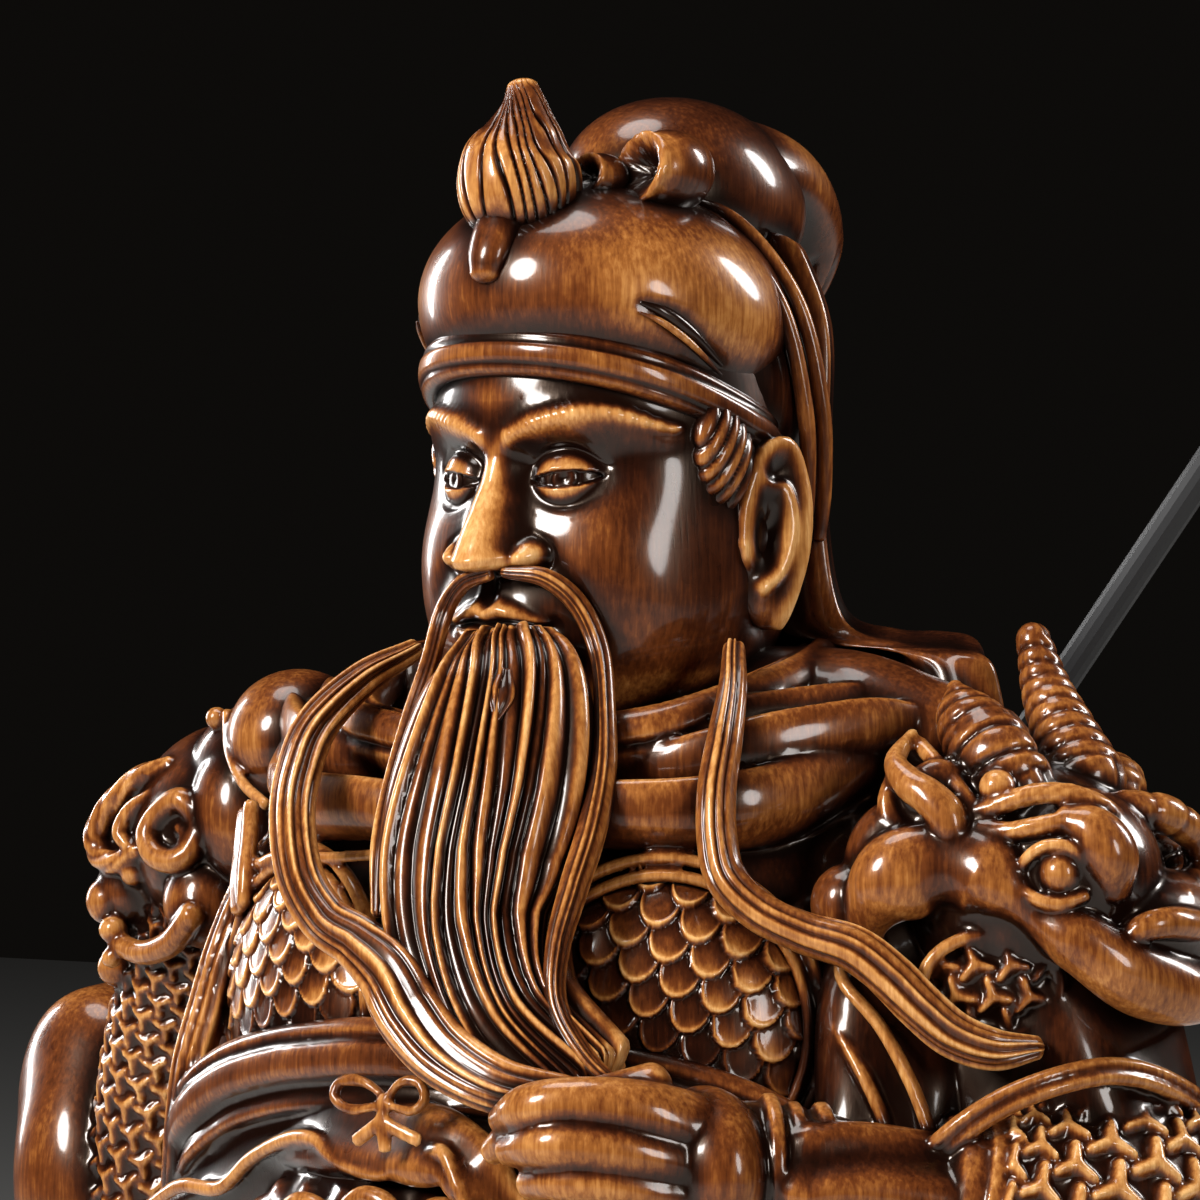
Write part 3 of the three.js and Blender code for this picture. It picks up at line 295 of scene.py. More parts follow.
def stroke(points, path, width, height, fine=24):
    # a ridge or groove along a path: height e^-(distance / width)^2, both fading at the path's ends when
    # given as (start, middle, end)
    away, share = nearest(points, path, fine)
    stops = [0, 0.5, 1]
    width = np.interp(share, stops, width) if np.ndim(width) else width
    height = np.interp(share, stops, height) if np.ndim(height) else height
    return height * np.exp(-((away / width) ** 2))


def grooves(angle, count, narrow=0.3):
    # 0 on broad rounded strands, -1 in the narrow grooves between them
    return -np.exp(-((np.sin(angle * count / 2) / narrow) ** 2))


def waves(depth, count, slant):
    # soft folds along a tube: depth cos(count a + slant t)
    return lambda t, a: depth * np.cos(count * a + slant * t)


def ringed(depth, count, narrow, slant=0.0):
    # a number of grooves across a tube, each narrow and moved along by its angle times slant
    return lambda t, a: depth * grooves(2 * math.pi * t + slant * a, count, narrow)


def seam(depth, width):
    # a groove along the middle of a strap's two faces: -depth e^-(cos a / width)^2
    return lambda t, a: -depth * np.exp(-((np.cos(a) / width) ** 2))


def strands(count, deep, seed=0.0, sway=0.045):
    # uneven locks side by side across a tube: its width, drifting in slow waves, is cut into count
    # strands, each a rounded ridge of its own height with a sharp groove on either side
    def relief(t, a):
        # a strand's own height times one less its share from the middle to the power 2.6, less a half
        u = 0.5 + 0.5 * np.cos(a)
        drift = np.sin(8.2 * u + 4 * t + seed) + 0.6 * np.sin(22 * u - 5 * t + 2 * seed)
        phase = (u + sway * drift) * count
        inside = phase - np.floor(phase)
        tall = 0.66 + 0.34 * np.sin(2.4 * np.floor(phase) + 5.1 * seed + 0.9)
        return deep * (tall * (1 - np.abs(2 * inside - 1) ** 2.6) - 0.5)
    return relief


def smoothStep(x):
    # 0 up to 0, 1 from 1, and 3 x^2 - 2 x^3 between
    x = np.clip(x, 0, 1)
    return x * x * (3 - 2 * x)


def softMax(a, b, k):
    # the larger of two heights, rounded where they meet
    return 0.5 * (a + b + np.sqrt((a - b) ** 2 + k * k))


def scales(u, v, wide, tall):
    # rows of overlapping scales that hang from v upwards: each rises gently to a thin rim along its round
    # tip and lies over the roots of the row below
    long = 1.8 * tall
    row = np.ceil(v / tall)

    def scale(j):
        # how far out a point lies on the scale of row j, 1 at its edge, and the height there
        side = (u / wide + 0.5 * (j % 2)) % 1 - 0.5
        down = j * tall - v
        tip = np.maximum(down - 0.4 * long, 0) / (0.6 * long)
        q = np.sqrt((2 * side) ** 2 + tip**2)
        rim = 0.22 * np.exp(-(((q - 0.88) / 0.07) ** 2)) - 0.5 * smoothStep((q - 0.94) / 0.06)
        return q, 0.1 + 0.62 * down / long - 0.12 * (2 * side) ** 2 + rim

    under, over = scale(row), scale(row + 1)
    return np.where(over[0] < 1, over[1], under[1])


def mail(u, v, pitch):
    # three-pointed stars on a triangular lattice, their arms turned a little so that each lies beside its
    # neighbours', highest in the middle
    best = np.full(np.shape(u), 9.0)
    row = np.round(v / (0.866 * pitch))
    for dr in (-1, 0, 1):
        r = row + dr
        shift = 0.5 * pitch * (r % 2)
        for dc in (-1, 0, 1):
            du = u - (np.round((u - shift) / pitch) + dc) * pitch - shift
            dv = v - r * 0.866 * pitch
            for k in range(3):
                c, s = math.cos(math.radians(109 + 120 * k)), math.sin(math.radians(109 + 120 * k))
                reach = np.clip(du * c + dv * s, 0, 0.5 * pitch)
                away = np.hypot(du - reach * c, dv - reach * s)
                best = np.minimum(best, away + 0.1 * reach)
    return np.clip(1.2 - (best / (0.19 * pitch)) ** 2, 0, 1) - 0.1 * best / pitch


def mirrored(s, stations):
    # the stations on the side s, their x times s
    return [[s * p[0], *p[1:]] for p in stations]


forms = {}  # the forms of each piece

# The head
headShape = {
    "levels": [[-36, 0, -9, 5, 8, 6], [-34, 0, -8, 12, 15, 11], [-30, 0, -4, 20, 21.5, 17],
               [-24, 0, -2, 25, 25.4, 21], [-16, 0, -1, 27.4, 27.4, 24], [-6, 0, 0, 27.8, 28, 26],
               [4, 0, 0, 27, 27.8, 27], [14, 0, 0, 26, 27, 27], [22, 0, 0, 24.4, 25.4, 26],
               [30, 0, 0, 20, 21, 22], [35, 0, 0, 12, 13, 14]],
    "nose": [[10, 0.3, 3.2], [6, 1, 3.1], [2, 2.5, 3.4], [-2, 4.6, 3.9], [-5.5, 6.9, 4.6], [-8, 8.2, 5.2],
             [-9.4, 7.4, 5.2], [-10.6, 3.2, 5], [-11.4, 0.5, 4.6], [-13, 0, 4.6]],
    "eye": {"x": 10.8, "z": 2.4, "half": 5.3, "up": 1.35, "down": 1.15, "ball": 6.3, "depth": -0.6,
            "iris": 1.95, "pupil": 0.75},
    # x, z, the spreads along them and the height
    "mounds": {"forehead": (0, 15, 15, 6, 0.9), "cheek": (16, -8, 8, 7, 1.5),
               "socket": (10.6, 3.4, 6.6, 4.4, -3.0), "innerSocket": (4.6, 5.4, 2.6, 3.4, -1.2),
               "muzzle": (0, -18.5, 9.5, 5.5, 1.9), "chin": (0, -29.5, 8, 5, 2.4),
               "jaw": (20, -18, 7, 9, 1.0),
               "wing": (6, -8.4, 2.6, 2.3, 4.2), "nostril": (2.6, -10.7, 1.2, 0.7, -1.3),
               "mouthCorner": (9.6, -18.6, 1.2, 1.3, -0.7), "underLip": (0, -23.8, 5, 1.5, -1.1)},
    # a path, its width and its height
    "strokes": {"browBone": ([[3.4, 8.0], [9, 10.2], [16, 10.8], [22, 8]], (2.4, 3, 2), (0.7, 1.2, 0.5)),
                "wingCrease": ([[6.6, -5.2], [9.2, -7], [9.4, -9.6], [7.4, -11.4]], 0.65, (-0.3, -0.8, -0.5)),
                "cheekCrease": ([[9.6, -10], [12.6, -14.4], [13.4, -19]], 1.9, (-0.5, -0.4, 0)),
                "lipChannel": ([[0, -12], [0, -15.2]], 0.8, -0.5),
                "channelEdge": ([[1.6, -12], [2, -15.2]], 0.6, 0.25),
                "upperLip": ([[0, -16.7], [2.3, -16.1], [5.2, -17.1], [8.6, -18.3]], (1.1, 1.15, 0.6),
                             (1.5, 1.4, 0.5)),
                "lowerLip": ([[0, -20.3], [3.6, -20.0], [7, -18.9]], (1.5, 1.45, 0.7), (2.1, 1.8, 0.5)),
                "lipLine": ([[0, -18.4], [3, -18.1], [6, -18.4], [9, -18.7]], 0.42, (-1.6, -1.4, -0.6)),
                "lidCrease": ([[5.2, 4.4], [8, 6.3], [12, 6.7], [16.4, 4.2]], 0.55, (-0.2, -0.6, -0.3)),
                "underEye": ([[6, 0.2], [9.5, -1.4], [13, -1.2], [16, 0.6]], 0.6, (0, -0.35, 0))},
    "eyebrow": {"path": [[3.2, 8.8], [8.5, 11.2], [15.5, 12.2], [22.5, 9.2]], "shares": [0, 0.2, 0.6, 1],
                "widths": [1.3, 1.7, 1.5, 0.6], "height": 0.8, "hair": 0.1},
    "ear": {"centre": (27.4, 0.6, -6.4), "radii": (2.4, 6, 14),
            "rim": [[-5, -1.5], [-4.6, 4], [-2, 10.6], [2, 12], [4.8, 8], [5, 0], [3.6, -7], [1.6, -12]],
            "fold": [[-1.6, 7], [1.4, 6.4], [2.4, 1], [1, -5], [-1.6, -7.6]],
            "mounds": {"bowl": (-1.4, -0.5, 2.2, 4, -2.6), "dip": (0, 9, 2, 2, -1),
                       "flap": (-4.4, -3.4, 1.2, 1.8, 1.2), "lobe": (0, -11, 3, 3, 0.8)}},
    "templeHair": {"centre": (25.2, -6, 4.4), "radii": (3.4, 6, 9), "pitch": 2.1, "depth": 0.6},
}


def faceRelief(x, z):
    # the face as a height over the plain head, a sum of mounds and strokes, the same on both sides
    ax = np.abs(x)
    at = np.stack([ax, z], -1)

    def rise(name):
        # the mound of that name
        return mound(ax, z, *headShape["mounds"][name])

    def line(name):
        # the stroke of that name
        return stroke(at, *headShape["strokes"][name])

    h = rise("forehead") + rise("cheek")
    h += rise("socket") + rise("innerSocket")
    h += rise("muzzle") + rise("chin")
    h += rise("jaw")
    h += line("browBone")
    eyebrow = headShape["eyebrow"]
    away, share = nearest(at, eyebrow["path"])
    brow = np.exp(-((away / np.interp(share, eyebrow["shares"], eyebrow["widths"])) ** 2))
    h += brow * (eyebrow["height"] + eyebrow["hair"] * np.cos(120 * share + 2.2 * (z - 10)))
    nose = headShape["nose"][::-1]
    tall = np.interp(z, [n[0] for n in nose], [n[1] for n in nose])
    wide = np.interp(z, [n[0] for n in nose], [n[2] for n in nose])
    bridge = tall * np.exp(-np.abs(ax / wide) ** 2.3)
    h += softMax(bridge, rise("wing"), 0.8) - 0.4
    h += line("wingCrease")
    h += rise("nostril")
    h += line("cheekCrease")
    h += line("lipChannel") + line("channelEdge")
    h += line("upperLip")
    h += line("lowerLip")
    h += line("lipLine")
    h += rise("mouthCorner") + rise("underLip")
    e = headShape["eye"]
    dx, dz = ax - e["x"], z - e["z"] - 0.05 * (ax - e["x"])
    r2 = dx**2 * 0.9 + dz**2
    inBall = r2 < (0.97 * e["ball"]) ** 2
    eyeball = e["depth"] + np.sqrt(np.maximum(e["ball"] ** 2 - r2, 0)) - e["ball"]
    arch = np.clip(1 - (dx / e["half"]) ** 2, 0, 1)
    upper = e["up"] * arch**0.7
    lower = -e["down"] * arch**0.8
    opening = smoothStep(np.minimum(upper - dz, dz - lower) / 0.34 + 0.5) * (np.abs(dx) < e["half"])
    margin = np.minimum(np.abs(dz - upper), np.abs(dz - lower))
    lid = eyeball + 0.85 + 0.18 * np.exp(-((margin / 0.5) ** 2))
    away = np.hypot(dx, dz - 0.1)
    iris = -0.28 * np.exp(-(((away - e["iris"]) / 0.26) ** 2)) - 0.5 * np.exp(-((away / e["pupil"]) ** 2))
    eyed = lid * (1 - opening) + (eyeball + iris) * opening
    h = np.where(inBall, softMax(h, eyed, 0.55) - 0.05 * (1 - opening), h)
    h = np.where(inBall & (opening > 0.02), h * (1 - opening) + (eyeball + iris) * opening, h)
    h += line("lidCrease")
    h += line("underEye")
    return h


def makeHead():
    # the skull as rings of the levels, close together over the face, with the face's relief along x and y
    levels = headShape["levels"]
    table = np.linspace(0, 1, 2001)
    rise = curveAt(levels, table)[:, 0]
    z = np.concatenate([np.arange(-36, -26, 0.7), np.arange(-26, 14, 0.27 / fineness),
                        np.arange(14, 35, 0.8), [35]])
    t = np.interp(z, rise, table)
    front = np.linspace(math.pi, 2 * math.pi, int(250 * fineness), endpoint=False)
    back = np.linspace(0, math.pi, int(40 * fineness), endpoint=False)
    tt, angle = np.meshgrid(t, np.concatenate([front, back]), indexing="ij")
    plain = levelPoints(levels, tt, angle)
    ahead = smoothStep(-plain[..., 1] / 8)
    relief = faceRelief(plain[..., 0], plain[..., 2]) * ahead
    rings = levelPoints(levels, tt, angle, relief)
    tip = mound(rings[..., 0], rings[..., 2], 0, -8, 5.5, 3, 1.0) * (relief > 3)
    rings[..., 2] -= tip
    ends = curveAt(levels, np.array([0.0, 1.0]))[:, [1, 2, 0]]
    parts = [shell(rings, ends, reach=1.3)]
    parts.append(tube([[0, 0, -12, 17, 17], [0, 4, -30, 18, 18], [0, 6, -42, 21, 20]], around=60, along=20,
                      roundness=0, tone=-0.15))
    ear, hair = headShape["ear"], headShape["templeHair"]
    for s in (-1, 1):
        def earRelief(p):
            # a rim that curls over the top and back, a second fold inside it, a deep bowl and a long lobe
            at = np.stack([p[..., 1], p[..., 2]], -1)
            bowl, dip, flap, lobe = (mound(at[..., 0], at[..., 1], *ear["mounds"][name])
                                     for name in ("bowl", "dip", "flap", "lobe"))
            h = stroke(at, ear["rim"], 1.35, (1.2, 2.2, 1.4)) + stroke(at, ear["fold"], 1.1, (0.6, 1.3, 1.0))
            h += bowl + dip
            h += flap + lobe
            return h * smoothStep(s * p[..., 0] / 1.2 + 0.3)

        def combed(p):
            # hair swept back in slanting grooves, one pitch apart
            across = 0.8 * p[..., 2] - 0.6 * p[..., 1]
            return hair["depth"] * grooves(across * 2 * math.pi / hair["pitch"], 1, 0.45)

        parts.append(ball([s * ear["centre"][0], *ear["centre"][1:]], ear["radii"], [-6, 0, s * -14], 84, 80,
                          relief=earRelief, reach=1.3))
        parts.append(ball([s * hair["centre"][0], *hair["centre"][1:]], hair["radii"], [18, 0, 0], 56, 56,
                          relief=combed, tone=-0.08))
    return parts


# The cap, its knot and the cloth behind it
capShape = {
    "dome": {"centre": (0, -1, 25.2), "radii": (28, 29.4, 20), "turn": (-16, 0, 0)},
    "band": [[0, -27.4, 21], [12, -25, 20], [20.6, -17.4, 17], [24.8, -7.4, 12.6], [25, 4, 7.4],
             [17, 15, 2], [0, 20, 0], [-17, 15, 2], [-25, 4, 7.4], [-24.8, -7.4, 12.6], [-20.6, -17.4, 17],
             [-12, -25, 20]],
    "knob": [[0, -21, 36.6, 4.6, 4.6], [0, -20.6, 39.4, 7.6, 7.4], [0, -20.5, 44, 9.2, 9],
             [0, -20.3, 49, 8.6, 8.4], [0.4, -19.8, 53, 5.9, 5.8], [0.4, -19.4, 56.4, 3.6, 3.6],
             [-0.2, -19, 59.4, 2.3, 2.3]],
    "knobStrands": 22,
    "slit": [[21.5, -18.3, -3.1], [23.4, -15.1, -3.8], [25.1, -10.1, -5.7], [25.4, -3, -8.3]],
    "rim": [[8, -1, 43, 1.2, 1.2], [18, 3, 38.6, 1.5, 1.5], [26, 6.6, 27, 1.5, 1.5], [28.4, 9, 12, 1.5, 1.5],
            [28, 9.8, 0, 1.3, 1.4], [27, 9.6, -8, 1.2, 1.2]],
}


def makeCap():
    # a soft dome over a band, with a ridged knob in front, loops of cloth and a bag behind
    shape = capShape
    dome = shape["dome"]

    def domeRelief(p):
        # a shallow trough along each side's slit
        folded = np.abs(p[..., 0])
        q = np.stack([folded, p[..., 1], p[..., 2]], -1)
        return stroke(q, shape["slit"], (1.1, 1.7, 1.1), (-0.3, -0.8, -0.3))

    def bandRelief(t, a):
        # two grooves along the band, where the cosine of the angle is 0.52 and -0.5
        v = np.cos(a)
        return -0.55 * np.exp(-(((v - 0.52) / 0.1) ** 2)) - 0.55 * np.exp(-(((v + 0.5) / 0.1) ** 2))

    def knobRelief(t, a):
        # ridges that swing round as they rise to the tip
        turn = a + 1.1 * t**2 + 0.16 * np.sin(3 * a + 5 * t) + 0.05 * np.sin(8 * a)
        swell = np.sin(math.pi * np.clip(t * 1.05, 0, 1)) ** 0.6
        return (0.15 + 1.05 * swell) * grooves(turn, shape["knobStrands"], 0.27)

    def bagRelief(t, a):
        # two creases that wind towards the tip, over two broad waves
        outer = np.exp(-(((a - 0.35 - 0.5 * t) / 0.14) ** 2))
        crease = outer + 0.8 * np.exp(-(((a + 0.45 - 0.5 * t - 2 * math.pi) / 0.16) ** 2))
        return -1.5 * crease * smoothStep((t - 0.45) / 0.4) + 0.5 * np.sin(2 * a + 6 * t)

    parts = [
        ball(dome["centre"], dome["radii"], dome["turn"], 140, 90, lean=0.4, relief=domeRelief, reach=2,
             tone=-0.05),
        ball([0, 9, 15], [27, 26, 27], around=60, along=44, tone=-0.1),
        tube([[*p, 3.5, 2.2] for p in shape["band"]], [0, 0.1, 1], 36, 150, closed=True, relief=bandRelief),
        tube(shape["knob"], around=264, along=70, roundness=0.5, relief=knobRelief),
        tube([[1, -29.8, 32.4, 2.4, 2], [1, -28.8, 35, 3.3, 2.6], [0.6, -26.4, 38, 3.8, 3.2],
              [0, -22, 42, 4, 4]], around=40, along=30, tone=-0.08),
        ball([0, 17, 43], [17.5, 21, 15.5], [-14, 0, 0], 70, 50, tone=-0.12),
        tube([[0, 12, 48, 15, 10], [0, 30, 46, 14.4, 9.4], [0, 41, 37, 11, 7], [0, 43.4, 28, 5.4, 4.4],
              [0, 43, 24, 3, 2.8]], around=90, along=60, relief=bagRelief, tone=-0.12),
    ]

    def hollow(p):
        # a loop of cloth seen from its open end
        facing = unit(p) @ unit(np.array([-0.1, -0.95, 0.25]))
        lip = 0.7 * np.exp(-(((facing - 0.7) / 0.06) ** 2))
        return lip - 5.0 * smoothStep((facing - 0.74) / 0.08)

    for s in (-1, 1):
        # the dome's slit: a near-black line sunk in the groove, painted shade for the slit's depth, and the
        # lip under it
        for size, sink, drop, tone in ((0.95, 0.985, 0.1, -0.7), (0.5, 1.0, -1.4, 0.04)):
            line = [[s * p[0] * sink, p[1] * sink, p[2] * sink + drop, size * k, size * k]
                    for p, k in zip(shape["slit"], (0.4, 1, 1, 0.4))]
            strip = tube(line, around=14, along=60, tone=tone)
            parts.append(moved(strip, turning(dome["turn"]), dome["centre"]))
        for place, size, lift in (([14.4, -4.4, 46.4], 1.0, 24), ([6.6, -10, 45.8], 0.62, -10)):
            loop = ball([0, 0, 0], [6.8, 7.8, 6.2], [0, -lift, 0], 50, 38, relief=hollow, tone=-0.2)
            parts.append(moved(loop, np.diag([s * size, size, size]), [s * place[0], place[1], place[2]]))
        for back in (0, 3.6):
            edge = [[p[0] + 0.1 * back, p[1] + back, p[2] + 0.14 * back, 0.8 * p[3], 0.9 * p[4]]
                    for p in shape["rim"]]
            parts.append(tube(mirrored(s, edge), [0, 1, 0], 16, 90, tone=-0.04))
    return parts


drapeShape = {
    "angles": (8, 172),
    "thickness": 12,
    "levels": [[287, 2, 1, 60, 20, 40.4], [300, 3, 1, 59, 20, 39.4], [314, 4, 1, 57, 20, 38],
               [321.6, 4.4, 1, 55.6, 20, 37.4], [325.6, 5.4, 1, 53, 20, 36], [326.8, 5, 2, 47.6, 20, 33.4],
               [327.4, 4, 2, 40.4, 20, 30.6], [330.6, 2.6, 3, 32.6, 20, 26.8], [344, 3, 4, 28.6, 20, 25],
               [358, 3, 5, 28.6, 20, 25], [374, 4, 6, 27, 16, 24], [388, 4, 7, 21, 12, 20]],
}


def makeDrape():
    # the cloth that falls from the cap over the shoulders, wrapped round the back
    shape = drapeShape

    def fold(share, t):
        # waves across the cloth that fade upwards, and a lip along its side edges
        edge = np.minimum(share, 1 - share)
        lip = 0.9 * np.exp(-((edge - 0.02) / 0.018) ** 2)
        low = np.clip(1 - 1.6 * t, 0, 1)
        return 1.9 * low * np.cos(share * 26) + 0.4 * np.cos(share * 52 + 2 * t) * np.exp(-edge * 6) + lip

    def hang(share):
        # the bottom edge in the same waves
        return 2.4 * np.cos(share * 26)

    return [wrap(shape["levels"], *shape["angles"], shape["thickness"], 110, 92, relief=fold, drop=hang,
                 tone=-0.28)]


headTurn = turning(headPlace["turn"])
forms["head"] = [moved(f, headTurn, headPlace["centre"]) for f in makeHead()]
forms["cap"] = [moved(f, headTurn, headPlace["centre"]) for f in makeCap()]
forms["drape"] = makeDrape()
print("head and cap shaped")

# The beard and the locks
beardShape = {
    "beard": [[4.4, -35, 326, 8, 4.6], [7, -39.3, 319.6, 12.4, 7.5], [8.2, -44.4, 307.6, 14.9, 9],
              [8.4, -49, 295.2, 14.8, 9], [10.6, -52.4, 284.9, 12.8, 8.5], [17.4, -55.2, 274.4, 10.6, 8],
              [29, -55.6, 265.3, 9.4, 6]],
    "tuft": [[9.9, -44.6, 322.3, 1.4, 1], [10.8, -47, 319, 2.2, 1.2], [11.3, -48.8, 315.9, 0.5, 0.6]],
    "leftMoustache": [[3.4, -34.2, 336.6, 1, 1], [9.4, -33, 335.8, 1.6, 1.3], [13.4, -30.6, 331.9, 1.8, 1.5],
                      [16.8, -30.6, 325.3, 1.8, 1.6], [20.3, -34.6, 317.3, 1.8, 1.8],
                      [22.9, -39, 309.2, 2.1, 2], [24.2, -44, 301, 2.4, 2.2], [24.6, -49.5, 292.9, 2.3, 2.2],
                      [24.8, -54, 284.9, 1.9, 2], [26.7, -57.2, 277.6, 1.6, 1.8],
                      [31.8, -58.6, 271.1, 1.5, 1.6], [37.4, -58.6, 266.6, 1.2, 1.4]],
    "rightMoustache": [[0.6, -34.6, 336.4, 1, 1], [-4, -34.4, 334.9, 1.3, 1.2], [-7.4, -34, 330.8, 1.4, 1.4],
                       [-7.6, -37.2, 323.7, 1.4, 1.5], [-6.6, -43.6, 315.2, 1.5, 1.6],
                       [-5.2, -50, 306.2, 1.6, 1.7], [-3.6, -55.3, 297.9, 1.6, 1.6],
                       [-1.8, -58.9, 289.1, 0.9, 1]],
    "rightLock": [[-18.5, -25.7, 325.3, 1.6, 1.6], [-22.3, -32.8, 321.3, 2.6, 2],
                  [-24.6, -41.3, 314.8, 3.2, 2.3],
                  [-23.6, -47.7, 307.8, 3.3, 2.5], [-20.8, -53.1, 300.9, 3.3, 2.5],
                  [-16.9, -56.5, 293.3, 3.4, 2.6], [-11, -58.8, 287.7, 3.6, 2.7], [-4.5, -60, 284.8, 4, 2.8],
                  [1.5, -61.6, 281.3, 4.8, 3], [6.8, -63.4, 275.7, 5.2, 3], [13.1, -64.4, 270.5, 4.8, 3],
                  [22, -64.2, 266.6, 4, 3], [31.1, -61.6, 265.3, 3, 2.6]],
    "leftLock": [[33.3, -20.6, 325.5, 1.9, 1.8], [36.2, -26, 320.1, 2.3, 2.2], [38.2, -31.6, 313.1, 2.8, 2.4],
                 [39.2, -35.4, 306.3, 3, 2.5], [40.8, -38, 299.5, 3.1, 2.5], [43.4, -39.6, 294.2, 3.2, 2.5],
                 [48.4, -39.4, 290, 3.2, 2.5], [54.7, -38, 287.1, 3.2, 2.5], [61.4, -36.6, 285, 3.4, 2.5],
                 [66.4, -35.4, 281.3, 3.4, 2.5], [70.8, -34.2, 277.1, 3.2, 2.4], [74.8, -32.3, 273.6, 3, 2.3],
                 [79.4, -29.4, 271.7, 2.6, 2.2], [83.7, -25.5, 271.9, 1.4, 1.6]],
    "strandCount": 14,
    "strandDepth": 1.9,
    # strands, their depth, points around and along, the drift's seed and the tone
    "locks": {"leftMoustache": (4, 0.7, 56, 132, 13, 0.04), "rightMoustache": (3, 0.6, 44, 132, 14, 0.04),
              "rightLock": (5, 1.1, 84, 132, 9, 0.08), "leftLock": (4, 1.0, 76, 132, 8, 0.08),
              "tuft": (4, 0.5, 40, 40, 4, -0.02)},
}


def makeBeard():
    # the face each lock turns outwards is ridged across its width
    outward = unit(np.array([0.4, -0.9, 0.12]))
    count, deep = beardShape["strandCount"], beardShape["strandDepth"]
    parts = [tube(beardShape["beard"], around=260, along=150, relief=strands(count, deep, 0.7, 0.03),
                  tone=-0.02, reach=0.9, face=outward, lean=0.45, roundness=0.4)]
    for name, (number, depth, around, along, seed, tone) in beardShape["locks"].items():
        parts.append(tube(beardShape[name], around=around, along=along, relief=strands(number, depth, seed),
                          tone=tone, reach=0.9, face=outward, lean=0.3))
    return parts


forms["beard"] = makeBeard()
print("beard shaped")

